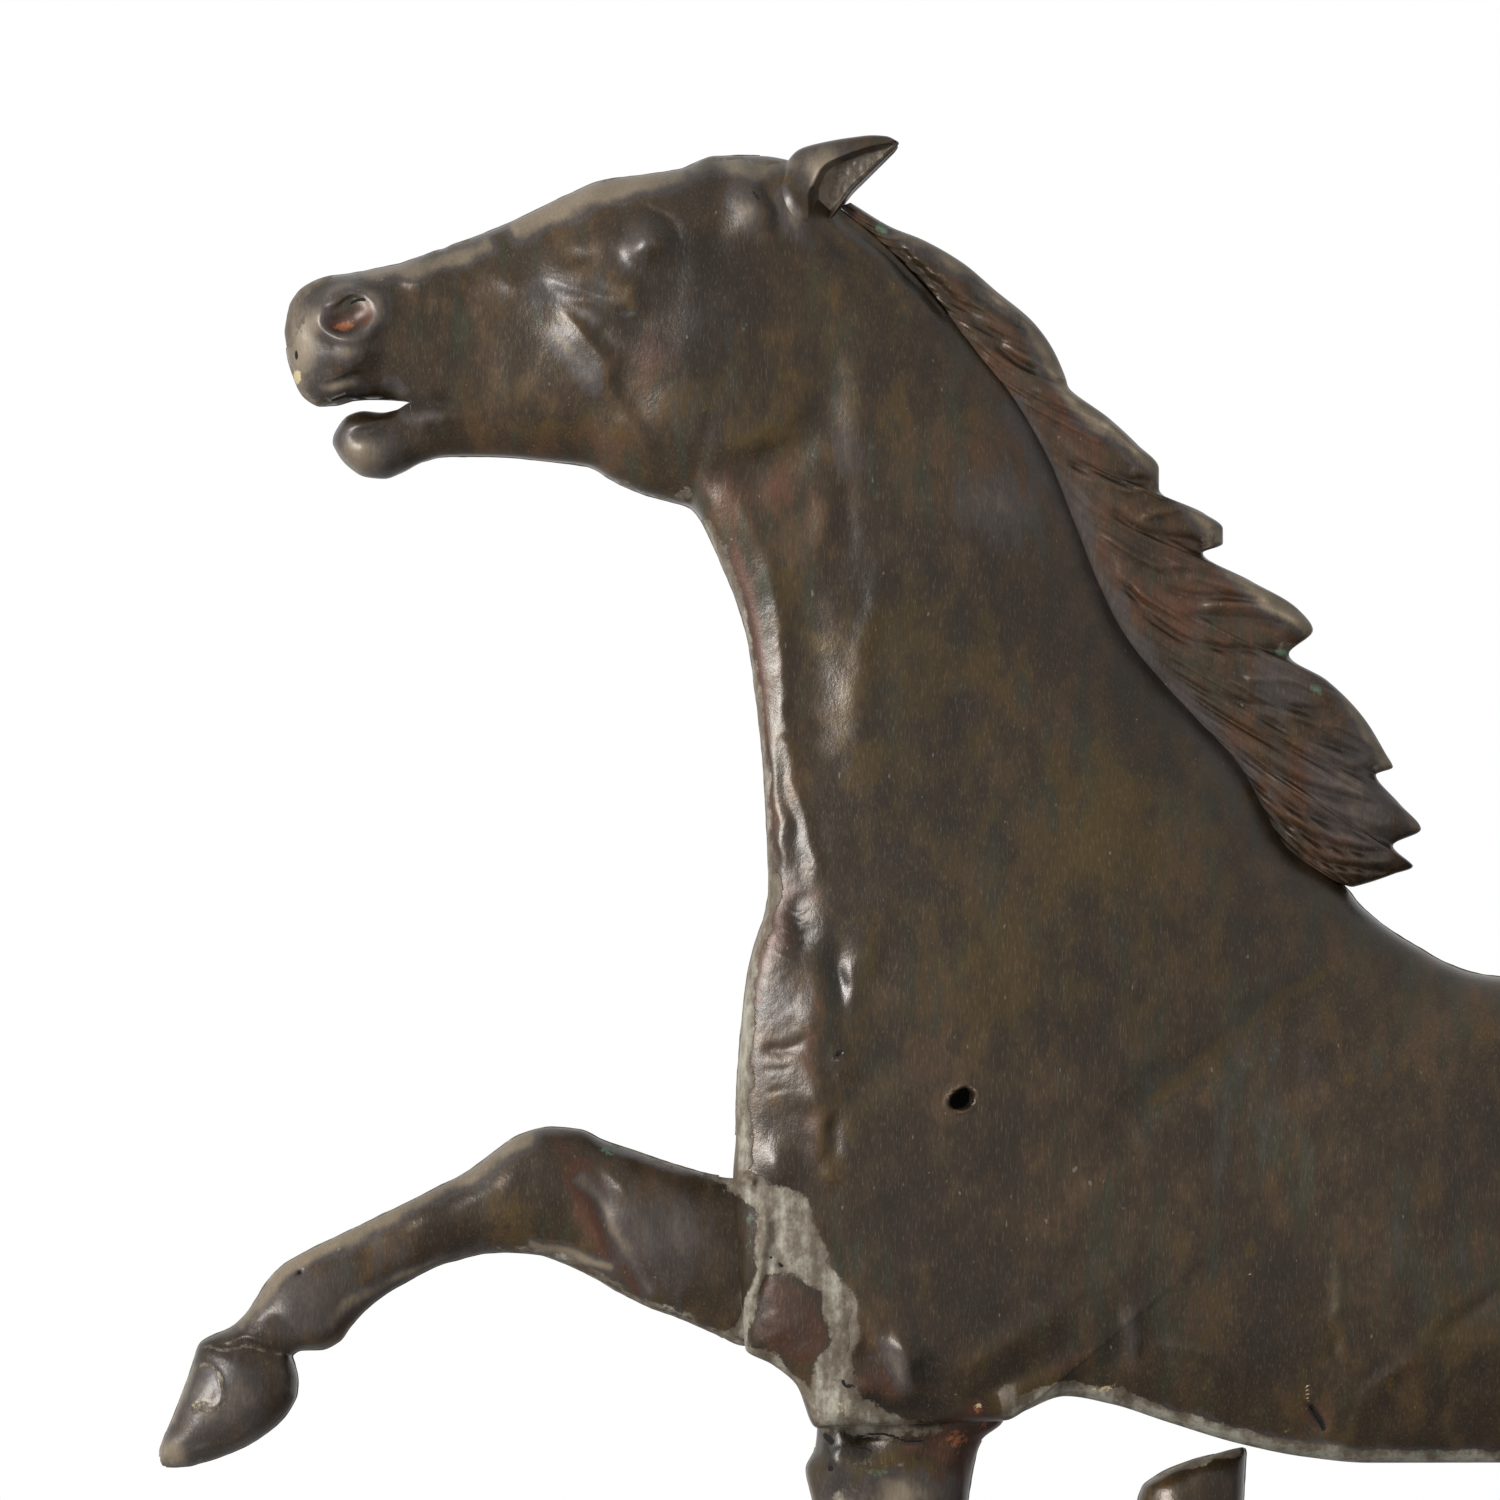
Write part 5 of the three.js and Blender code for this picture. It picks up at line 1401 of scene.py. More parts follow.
BODY_BARREL: tuple[Rib, ...] = (
    (1022, 1409, 1528, 981, 110), (1064, 1394, 1552, 985, 111), (1110, 1402, 1582, 990, 112),
    (1166, 1420, 1614, 994, 113), (1239, 1442, 1652, 996, 114), (1303, 1455, 1692, 992, 115),
    (1367, 1461, 1730, 984, 115), (1440, 1461, 1767, 973, 114), (1510, 1461, 1804, 961, 112),
    (1580, 1457, 1840, 951, 109), (1640, 1448, 1875, 945, 107), (1694, 1437, 1908, 944, 107),
)
BODY_RUMP: tuple[Rib, ...] = (
    (2068, 1341, 2068, 1021, 102, 0, 24), (2074, 1326, 2090, 1046, 92), (2078, 1318, 2094, 1062, 88),
    (2092, 1262, 2100, 1094, 66), (2101, 1210, 2104, 1130, 34), (2104, 1184, 2105, 1158, 12),
    (2105.5, 1173, 2105.6, 1169, 1),
)


# The numbers of the body's ribs at which its parts start or end. Each joint adds ribs of its own between them
JOINT_RIBS = 5
CHEEK_START = len(BODY_HEAD) + JOINT_RIBS
NECK_START = CHEEK_START + len(BODY_CHEEK)
NECK_END = NECK_START + len(BODY_NECK) - 1
BARREL_START = NECK_END + 1 + JOINT_RIBS + len(BODY_CHEST) + JOINT_RIBS
HIND_START = BARREL_START + len(BODY_BARREL)
PAST_PHOTO = HIND_START - 3
RUMP_START = HIND_START + 2 * JOINT_RIBS


@dataclass(frozen=True)
class JointLine:
    """Where the open edge of the body takes a leg or the jaw: its ends, half thicknesses and far edge."""

    start: Point
    end: Point
    half: float
    body_half: float
    crest_wear_and_highlight: tuple[float, ...]

    def ribs(self) -> tuple[Rib, ...]:
        """Returns the body's ribs along the line; its edge stands open as half an ellipse."""
        made = []
        for index, (crest_x, crest_y) in enumerate(pairs(self.crest_wear_and_highlight)):
            share = index / (JOINT_RIBS - 1)
            x, y = (a + (b - a) * share for a, b in zip(self.start, self.end))
            made.append((x, y, crest_x, crest_y, self.body_half, self.half * math.sin(math.pi * share), 0.0))
        return tuple(made)


@dataclass
class HorseBody:
    """Head, neck and trunk in a left and a right half, each in three pieces of one grid, and the patch.

    The fullness knots are rib numbers, with the fullness there at the lower and at the upper edge.
    """

    finishes: Finishes
    columns: int = 252
    head_rows: int = 370
    neck_rows: int = 370
    trunk_rows: int = 330
    rump_rows: int = 50
    fullness_knots: tuple[tuple[float, ...], ...] = (
        (0, 2, 8, 16, 22, 26, 34, 46, 60, 74, 86),
        (2.4, 3.4, 3.0, 3.0, 3.8, 8.5, 13.5, 11.0, 5.5, 3.4, 2.2),
        (2.4, 3.0, 2.6, 2.4, 2.4, 2.3, 2.2, 2.2, 2.6, 2.8, 2.2),
    )
    jaw: JointLine = JointLine(
        (409, 402), (417, 463), 36, 51, (420, 257, 427, 254, 435, 251, 444, 249, 453, 245)
    )
    raised_leg: JointLine = JointLine(
        (733, 1178), (745, 1346), 45, 109, (1347, 889, 1359, 904, 1377, 920, 1399, 936, 1421, 949)
    )
    folded_leg: JointLine = JointLine(
        (817, 1425), (1004, 1418), 48, 110, (1466, 971, 1479, 974, 1492, 976, 1505, 977.5, 1517, 979)
    )
    far_hind: JointLine = JointLine(
        (1738, 1437), (1893, 1498), 50, 110, (1938, 948, 1956, 953, 1974, 960, 1991, 967, 2007, 975)
    )
    near_hind: JointLine = JointLine(
        (1925, 1498), (2061, 1362), 52, 112, (2015, 979, 2023, 983, 2031, 987, 2039, 992, 2046, 996)
    )
    patch_outline: Area = Area(
        (752, 1176, 774, 1173, 799, 1183, 815, 1222, 824, 1254, 843, 1280, 859, 1295, 856, 1323, 849, 1369,
         826, 1385, 800, 1368, 775, 1348, 759, 1337), 1.0, 1.0,
    )
    patch_wander: float = 3.0
    patch_wander_length: float = 26
    patch_rim: float = 20.0
    patch_sunk: float = 0.00055
    patch_rise: float = 0.00065
    patch_thickness: float = 0.0008

    def sheet(self) -> FormedSheet:
        """Returns the form of one half."""
        ribs = (
            BODY_HEAD + self.jaw.ribs() + BODY_CHEEK + BODY_NECK + self.raised_leg.ribs() + BODY_CHEST
            + self.folded_leg.ribs() + BODY_BARREL + self.far_hind.ribs() + self.near_hind.ribs() + BODY_RUMP
        )
        knots, lower, upper = self.fullness_knots
        ribs = tuple(
            (*rib, *(0.0,) * (7 - len(rib)), *(float(np.interp(n, knots, edge)) for edge in (lower, upper)))
            for n, rib in enumerate(ribs)
        )
        return FormedSheet(RibTable(ribs), 2.0, wobble=0.22)

    def build(self) -> None:
        """Builds the three pieces of each half, the right one with half as many rows and columns."""
        sheet = self.sheet()
        ends = (sheet.table.share_of(rib) for rib in (NECK_START - 1, NECK_END, PAST_PHOTO))
        stops = (0.0, *ends, 1.0)
        rows = (self.head_rows, self.neck_rows, self.trunk_rows, self.rump_rows)
        for side, thinning in ((Side.LEFT, 1), (Side.RIGHT, 2)):
            counts = [count // thinning for count in rows]
            stretches = zip(stops[:-1], stops[1:], counts)
            shares = np.concatenate([*(np.linspace(a, b, n, endpoint=False) for a, b, n in stretches), [1.0]])
            grid = sheet.raise_grid(shares, self.columns // thinning, side)
            normals = grid.level_normals()
            first = 0
            for part, last in (("head", counts[0]), ("neck", sum(counts[:2])), ("trunk", len(shares) - 1)):
                piece = grid.slice(first, last).mesh(f"{part}_{side.word}", normals[first : last + 1])
                dress(piece, self.finishes.patina, "aged_copper", f"body_shell_{side.word}")
                first = last
            if side is Side.LEFT:
                self.patch(grid)

    def patch(self, grid: SheetGrid) -> None:
        """Cuts the shoulder's sheet patch from the left half's grid and sets it proud of the body."""
        x = grid.x + self.patch_wander * ripple(grid.x, grid.y, self.patch_wander_length, 61)
        y = grid.y + self.patch_wander * ripple(grid.x, grid.y, self.patch_wander_length, 62)
        inside = gathered((self.patch_outline,), x, y) > 0.5
        cells = inside[:-1, :-1] & inside[1:, :-1] & inside[1:, 1:] & inside[:-1, 1:]
        index = np.arange(grid.x.size).reshape(grid.x.shape)
        faces = np.stack([index[:-1, :-1], index[1:, :-1], index[1:, 1:], index[:-1, 1:]], -1)[cells]
        used, flat = np.unique(faces, return_inverse=True)
        inwards = gathered((Area(self.patch_outline.points, 1.0, self.patch_rim),), x, y).ravel()[used]
        lift = -self.patch_sunk + self.patch_rise * eased(inwards * 2 - 1)
        points = grid.points().reshape(-1, 3)[used] + grid.normals().reshape(-1, 3)[used] * lift[:, None]
        marks = grid.marks.reshape(len(Mark), -1)[:, used]
        piece = make_piece("shoulder_patch_sheet", points, flat.reshape(-1, 4), marks)
        thick = piece.modifiers.new("thickness", "SOLIDIFY")
        thick.thickness, thick.offset = self.patch_thickness, 0.0
        dress(piece, self.finishes.patina, "bare_copper", "shoulder_patch")


def dress(piece: Piece, material: Material, slot: str, *nodes: str) -> None:
    """Gives a piece of the figure its material and body, and hides the solids that it stands for."""
    piece.data.materials.append(material)
    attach(piece, "figure")
    if nodes:
        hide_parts(*nodes)
    log.info("%s: %d faces", piece.name, len(piece.data.polygons))


@dataclass
class Jaw:
    """The lower jaw, which carries on into the cheek."""

    finishes: Finishes
    rows: int = 110
    columns: int = 110
    ribs: tuple[Rib, ...] = (
        (333, 445, 332.6, 442, 1), (335, 449, 333, 438, 10), (341, 459, 338, 427, 24),
        (351, 469, 349, 415, 32), (365, 477, 364, 411, 36), (384, 479, 382, 412.5, 37),
        (402, 473, 396, 410, 37), (421, 463, 413, 402, 37), (437, 458, 430, 404, 35),
        (452, 456, 448, 410, 26),
    )

    def build(self) -> None:
        """Builds the jaw's two halves."""
        sheet = FormedSheet(RibTable(self.ribs), 2.4, wobble=0.5)
        for side in Side:
            grid = sheet.raise_grid(np.linspace(0, 1, self.rows), self.columns, side)
            piece = grid.mesh(f"jaw_{side.word}", grid.level_normals())
            dress(piece, self.finishes.patina, "aged_copper", f"body_shell_{side.word}")


@dataclass
class Leg:
    """One leg, pressed in an outer and an inner half.

    Its root is the joint's line, taken from its end where the joint is reversed, and starts some pixels
    further inwards, in the body. The leg leans out by its spread, in metres, as it goes down.
    """

    name: str
    joint: JointLine
    reversed_joint: bool
    inwards: Point
    spread: float
    ribs: tuple[Rib, ...]
    finishes: Finishes
    rows: int = 300
    columns: int = 96
    fullness: float = 2.2
    root_depth: float = 9.0
    wobble: float = 0.7

    def sheet(self) -> FormedSheet:
        """Returns the form of one half, with its root carried on into the body."""
        a, b = self.joint.start, self.joint.end
        if self.reversed_joint:
            a, b = b, a
        dx, dy = self.inwards[0] * self.root_depth, self.inwards[1] * self.root_depth
        inside = (a[0] + dx, a[1] + dy, b[0] + dx, b[1] + dy, self.joint.half - 2)
        table = RibTable((inside, (*a, *b, self.joint.half)) + self.ribs)
        return FormedSheet(table, self.fullness, spread=self.spread, wobble=self.wobble)

    def build(self) -> None:
        """Builds the outer and the inner half."""
        sheet = self.sheet()
        outer = Side.LEFT if self.spread < 0 else Side.RIGHT
        for half, side in (("outer_half", outer), ("inner_half", outer.other)):
            grid = sheet.raise_grid(np.linspace(0, 1, self.rows), self.columns, side)
            piece = grid.mesh(f"{self.name}_{half}_sheet")
            dress(piece, self.finishes.patina, "aged_copper", f"{self.name}_{half}")


RAISED_LEG: tuple[Rib, ...] = (
    (712, 1332, 712, 1175, 45), (680, 1318, 688, 1168.5, 44), (648, 1306, 660, 1160, 43),
    (618, 1291, 632, 1150, 42), (590, 1275, 605, 1141, 41), (563, 1262, 578, 1129, 41),
    (538, 1254, 550, 1127, 41), (512, 1251.5, 522, 1134, 39), (487, 1252.5, 498, 1149, 35),
    (462, 1258, 470, 1170, 30), (438, 1265, 435, 1188.5, 27), (412, 1278, 400, 1206, 25),
    (388, 1292, 365, 1223, 25), (368, 1307, 332, 1238.5, 26), (352, 1324, 303, 1253, 28),
    (340, 1340, 283, 1265, 30), (322, 1348, 268, 1281, 31), (302, 1349, 258, 1297, 30),
    (293, 1355, 247, 1313, 30), (296, 1364, 232, 1326.5, 32), (299, 1378, 215, 1334, 36),
    (298, 1392, 201, 1342.5, 40), (290, 1409, 195, 1360, 41), (272, 1428, 188, 1381, 40),
    (245, 1445, 180, 1402, 37), (215, 1457, 172, 1422, 30), (188, 1464, 165, 1438, 21),
    (170, 1465, 161.5, 1452, 8), (164, 1464, 161.6, 1459, 1),
)
FOLDED_LEG: tuple[Rib, ...] = (
    (815, 1448, 981, 1441, 48), (806, 1470, 972, 1472, 47), (813, 1502, 967, 1504, 46),
    (820, 1545, 955, 1545, 43), (823, 1590, 940, 1586, 40), (821, 1630, 932, 1620, 39),
    (815, 1668, 932, 1648, 39), (816, 1705, 938, 1664, 39), (832, 1742, 946, 1672, 38),
    (862, 1768, 956, 1676, 36), (898, 1774, 968, 1676, 33), (935, 1766, 985, 1673, 30),
    (975, 1751, 1010, 1666, 27), (1018, 1738, 1040, 1659, 25), (1060, 1728, 1070, 1650, 25),
    (1100, 1722, 1094, 1636, 26), (1138, 1716, 1110, 1618, 29), (1172, 1700, 1124, 1602, 31),
    (1196, 1674, 1140, 1594, 30), (1208, 1646, 1152, 1586, 30), (1216, 1618, 1156, 1574, 31),
    (1226, 1592, 1152, 1556, 33), (1238, 1568, 1144, 1540, 37), (1243, 1546, 1139, 1522, 40),
    (1243.5, 1520, 1139, 1504, 41), (1245, 1494, 1143, 1489, 40), (1246, 1472, 1160, 1476, 36),
    (1247, 1456, 1190, 1463, 28), (1245, 1449, 1220, 1455, 14),
)
FAR_HIND_LEG: tuple[Rib, ...] = (
    (1752, 1475, 1905, 1520, 47), (1772, 1520, 1925, 1545, 45), (1800, 1565, 1950, 1575, 42),
    (1832, 1605, 1978, 1603, 39), (1862, 1640, 2006, 1628, 37), (1888, 1675, 2020, 1660, 36),
    (1906, 1712, 2017, 1700, 35), (1920, 1750, 2012, 1735, 31), (1934, 1790, 2016, 1775, 27),
    (1950, 1830, 2028, 1815, 25), (1966, 1868, 2044, 1852, 25), (1980, 1900, 2062, 1880, 27),
    (1990, 1928, 2075, 1905, 30), (1996, 1952, 2074, 1932, 30), (1998, 1976, 2064, 1954, 29),
    (1996, 1998, 2066, 1974, 31), (1990, 2018, 2078, 1996, 36), (1984, 2040, 2086, 2020, 40),
    (1976, 2064, 2086, 2046, 41), (1968, 2088, 2072, 2070, 38), (1964, 2106, 2040, 2090, 28),
    (1967, 2117, 2000, 2110, 12),
)
NEAR_HIND_LEG: tuple[Rib, ...] = (
    (1962, 1522, 2090, 1398, 47), (2005, 1548, 2124, 1434, 44), (2050, 1575, 2160, 1468, 41),
    (2096, 1601, 2198, 1500, 38), (2140, 1625, 2236, 1524, 37), (2180, 1650, 2268, 1540, 37),
    (2215, 1676, 2285, 1562, 35), (2248, 1697, 2296, 1596, 31), (2286, 1716, 2318, 1630, 27),
    (2326, 1736, 2352, 1658, 25), (2368, 1756, 2396, 1682, 25), (2402, 1778, 2436, 1706, 26),
    (2432, 1800, 2474, 1722, 29), (2462, 1818, 2497, 1744, 30), (2488, 1830, 2512, 1762, 29),
    (2512, 1842, 2535, 1772, 31), (2536, 1858, 2564, 1768, 36), (2556, 1874, 2590, 1776, 40),
    (2576, 1886, 2608, 1796, 41), (2594, 1893, 2616, 1822, 36), (2608, 1895, 2620, 1848, 28),
    (2617, 1892, 2622, 1870, 14),
)


@dataclass
class Mane:
    """The locks along the crest of the neck, in a left and a right half.

    A strand keeps the same value of u + curl * (1 - v)^2, where u is the way along the crest and v the way
    out from it, so that it leaves the crest along it and turns out to a tip.
    """

    finishes: Finishes
    rows: int = 620
    columns: int = 110
    curl: float = 74.0
    strand_length: float = 23.0
    strand_height: float = 0.6
    hair_height: float = 0.12
    lock_share: float = 0.62
    crest_fade: float = 0.22
    tip_fade: float = 7.0
    red: float = 0.42
    ribs: tuple[Rib, ...] = (
        (841, 207, 851, 203, 21, 20), (871, 239, 893, 228, 24, 25), (897, 265, 921, 239, 25, 26),
        (922, 293, 963, 263, 25, 26), (937, 311, 995, 290, 26, 26), (952, 328, 1035, 324, 27, 26),
        (965, 345, 1054, 351, 27, 26), (975, 359, 1066, 379, 27, 26), (987, 373, 1068, 386, 27, 26),
        (1001, 390, 1110, 419, 27, 26), (1014, 409, 1138, 445, 27, 26), (1023, 424, 1159, 469, 27, 26),
        (1031, 438, 1159, 488, 27, 26), (1039, 452, 1205, 514, 27, 26), (1047, 466, 1223, 529, 27, 26),
        (1052, 478, 1223, 543, 27, 26), (1057, 490, 1203, 553, 27, 26), (1064, 508, 1251, 581, 27, 26),
        (1072, 528, 1298, 609, 27, 26), (1078, 544, 1313, 630, 27, 26), (1085, 561, 1289, 654, 27, 26),
        (1094, 584, 1328, 681, 27, 26), (1105, 607, 1364, 718, 27, 26), (1117, 631, 1386, 754, 27, 26),
        (1127, 645, 1393, 767, 27, 26), (1137, 658, 1376, 775, 27, 26), (1151, 676, 1399, 803, 27, 26),
        (1169, 697, 1421, 829, 27, 26), (1182, 712, 1393, 846, 27, 26), (1199, 732, 1413, 866, 26, 26),
        (1218, 755, 1394, 874, 26, 25), (1241, 789, 1368, 883, 25, 24), (1264, 832, 1352, 887, 24, 22),
        (1296, 866, 1347, 886, 20, 16),
    )
    ridges: tuple[Shape, ...] = (
        Line((1000, 338, 1019, 353, 1041, 365, 1069, 384), 4.5, 5, 4, 0.2),
        Line((1029, 369, 1054, 383, 1086, 405), 4, 5, 4, 0.2),
        Line((1032, 389, 1061, 396, 1082, 406), 3.5, 4, 4, 0.2),
        Line((1019, 396, 1048, 412, 1073, 428, 1096, 440, 1118, 457, 1140, 470), 4, 5, 5, 0.15),
        Line((1100, 419, 1115, 431, 1128, 441, 1145, 458), 5, 6, 4, 0.2),
        Line((1080, 472, 1105, 483, 1128, 491, 1156, 488), 4.5, 6, 5, 0.2),
        Line((1137, 521, 1153, 514, 1179, 509, 1200, 520, 1222, 530), 5, 5, 5, 0.15),
        Line((1096, 530, 1115, 543, 1134, 556, 1159, 565, 1191, 566, 1214, 566), 5, 5, 6, 0.15),
        Line((1110, 556, 1134, 587, 1159, 606, 1190, 620), 4, 6, 5, 0.2),
        Line((1179, 574, 1204, 581, 1230, 587, 1255, 594, 1280, 606), 5, 5, 5, 0.15),
        Line((1196, 610, 1220, 604, 1248, 605, 1276, 612, 1309, 628), 6, 5, 5, 0.15),
        Line((1100, 600, 1124, 630, 1156, 654, 1200, 664), 3, 7, 6, 0.2),
        Line((1236, 684, 1262, 678, 1287, 679, 1312, 687, 1338, 700), 5, 5, 5, 0.15),
        Line((1223, 676, 1255, 695, 1281, 711, 1306, 721, 1338, 727, 1364, 738, 1384, 750), 5, 5, 5,
            0.15),
        Line((1274, 726, 1306, 741, 1338, 757, 1370, 770), 5, 5, 5, 0.2),
        Line((1198, 711, 1236, 735, 1274, 759, 1306, 776, 1351, 790, 1400, 812), 5, 6, 6, 0.15),
        Line((1262, 772, 1300, 796, 1346, 812, 1400, 832), 5, 6, 5, 0.15),
        Line((1256, 792, 1296, 820, 1340, 838, 1382, 848), 5, 6, 5, 0.15),
        Line((1284, 830, 1316, 850, 1352, 860, 1398, 862), 5, 6, 5, 0.15),
        Line((1300, 850, 1330, 870, 1368, 874), 4, 5, 4, 0.2),
        Line((902, 246, 930, 272, 962, 300), 4, 5, 4, 0.2),
        Line((934, 268, 966, 296, 1000, 322, 1030, 340), 4.5, 6, 4, 0.15),
        Line((972, 280, 1000, 300, 1034, 330), 4, 5, 4, 0.2),
        Line((960, 318, 984, 346, 1014, 372, 1048, 392), 4, 6, 5, 0.15),
        Line((980, 350, 1004, 380, 1034, 406), 3, 6, 5, 0.2),
    )
    valleys: tuple[Shape, ...] = (
        Line((992, 340, 1016, 362, 1040, 374, 1068, 388), -5, 5, 4, 0.12),
        Line((1040, 404, 1080, 420, 1104, 432), -4, 4, 4, 0.2),
        Line((1064, 462, 1100, 474, 1130, 482, 1159, 482), -6, 6, 5, 0.12),
        Line((1098, 440, 1116, 456, 1136, 474), -5, 5, 4, 0.2),
        Line((1108, 508, 1136, 530, 1160, 537, 1196, 541, 1215, 552), -6, 5, 5, 0.12),
        Line((1140, 505, 1160, 504, 1190, 500), -3, 5, 4, 0.2),
        Line((1121, 577, 1137, 603, 1159, 624, 1185, 640, 1223, 649, 1268, 651, 1290, 655), -7, 5, 5,
            0.08),
        Line((1160, 585, 1190, 596, 1230, 598, 1268, 603), -5, 4, 4, 0.15),
        Line((1180, 615, 1210, 617, 1250, 619, 1290, 628), -5, 5, 5, 0.15),
        Line((1160, 668, 1200, 690, 1236, 702, 1280, 708, 1344, 712), -5, 5, 5, 0.12),
        Line((1250, 712, 1290, 734, 1330, 745, 1372, 758), -5, 5, 4, 0.15),
        Line((1180, 690, 1230, 722, 1280, 746, 1330, 766, 1377, 778), -6, 5, 5, 0.12),
        Line((1230, 748, 1280, 776, 1330, 794, 1390, 806), -5, 5, 5, 0.15),
        Line((1240, 776, 1290, 808, 1340, 826, 1392, 845), -6, 5, 5, 0.12),
        Line((1272, 816, 1310, 838, 1350, 850, 1392, 854), -5, 5, 5, 0.15),
        Line((1290, 848, 1320, 862, 1356, 868, 1394, 873), -5, 4, 4, 0.15),
        Line((890, 240, 920, 270, 950, 296), -4, 5, 4, 0.2),
        Line((936, 284, 966, 312, 1000, 340, 1040, 358), -5, 5, 5, 0.15),
        Line((966, 290, 996, 312, 1034, 336), -4, 4, 4, 0.2),
    )

    def build(self) -> None:
        """Builds the two halves."""
        sheet = FormedSheet(
            RibTable(self.ribs), 2.6, edge_cosine=0.7, edge_fade=5, wobble=0.4, plain_edges=True
        )
        for side in Side:
            grid = sheet.raise_grid(np.linspace(0, 1, self.rows), self.columns, side)
            grid.add_strands(self.strands(grid), 4, self.red)
            piece = grid.mesh(f"mane_{side.word}_locks")
            dress(piece, self.finishes.patina, "aged_copper", f"mane_{side.word}")

    def strands(self, grid: SheetGrid) -> np.ndarray:
        """Returns the height of the strands over the grid, in pixels, fading at the crest and at the tips."""
        along = summed(np.hypot(np.diff(grid.x[:, 0]), np.diff(grid.y[:, 0])))[:, None]
        v = np.linspace(0, 1, grid.x.shape[1])[None, :]
        strand = along + self.curl * (1 - v) ** 2
        strand = strand + 3.0 * ripple(along, 40 * v, 60, 21)
        wave = np.cos(2 * np.pi * strand / self.strand_length)
        fine = np.cos(2 * np.pi * strand / (self.strand_length * 0.37) + 2 * np.sin(strand / 31))
        locks = gathered(self.ridges + self.valleys, grid.x, grid.y)
        worked = self.strand_height * wave + self.hair_height * fine + self.lock_share * locks
        length = grid.widths()
        share = np.hypot(grid.x - grid.x[:, :1], grid.y - grid.y[:, :1]) / np.maximum(length, 1)
        return worked * eased(share / self.crest_fade) * eased((1 - share) * length / self.tip_fade)


@dataclass
class Tail:
    """The streaming tail, in a left and a right half with strands along it."""

    finishes: Finishes
    rows: int = 260
    columns: int = 90
    strand_count: float = 7.0
    strand_height: float = 3.6
    hair_height: float = 1.6
    full_width: float = 150.0
    red: float = 0.35
    ribs: tuple[Rib, ...] = (
        (2084, 1044, 2042, 992, 22), (2094, 1044, 2050, 994, 24), (2112, 1042, 2072, 974, 27),
        (2138, 1042, 2108, 955, 31), (2166, 1050, 2150, 948, 34), (2192, 1068, 2196, 948, 36),
        (2216, 1094, 2242, 956, 37), (2238, 1124, 2288, 972, 37), (2252, 1150, 2334, 994, 36),
        (2242, 1180, 2372, 1018, 36), (2284, 1206, 2398, 1040, 35), (2306, 1244, 2420, 1050, 34),
        (2300, 1280, 2444, 1088, 33), (2330, 1312, 2474, 1132, 32), (2346, 1352, 2502, 1166, 30),
        (2352, 1392, 2510, 1204, 27), (2394, 1408, 2534, 1256, 24), (2420, 1444, 2560, 1300, 19),
        (2454, 1436, 2562, 1336, 14), (2496, 1456, 2588, 1376, 10), (2540, 1444, 2600, 1412, 4),
        (2556, 1438, 2596, 1420, 1),
    )

    def build(self) -> None:
        """Builds the two halves."""
        sheet = FormedSheet(RibTable(self.ribs), 2.2, wobble=0.5)
        for side in Side:
            grid = sheet.raise_grid(np.linspace(0, 1, self.rows), self.columns, side)
            grid.add_strands(self.strands(grid), 3, self.red)
            piece = grid.mesh(f"tail_{side.word}_strands")
            dress(piece, self.finishes.patina, "aged_copper", f"tail_{side.word}")

    def strands(self, grid: SheetGrid) -> np.ndarray:
        """Returns waves across the tail whose places wander slowly along it, fading at its edges and root."""
        u = np.linspace(0, 1, grid.x.shape[0])[:, None]
        v = np.linspace(0, 1, grid.x.shape[1])[None, :]
        across = self.strand_count * (v + 0.05 * np.sin(5.2 * u + 3 * v) + 0.03 * np.sin(13 * u))
        wave, fine = np.cos(2 * np.pi * across), np.cos(2 * np.pi * 2.6 * across + 5 * u)
        worked = self.strand_height * wave + self.hair_height * fine
        thin = np.clip(grid.widths() / self.full_width, 0.2, 1)
        return worked * eased(np.minimum(v, 1 - v) * 7) * eased(u * 9) * thin


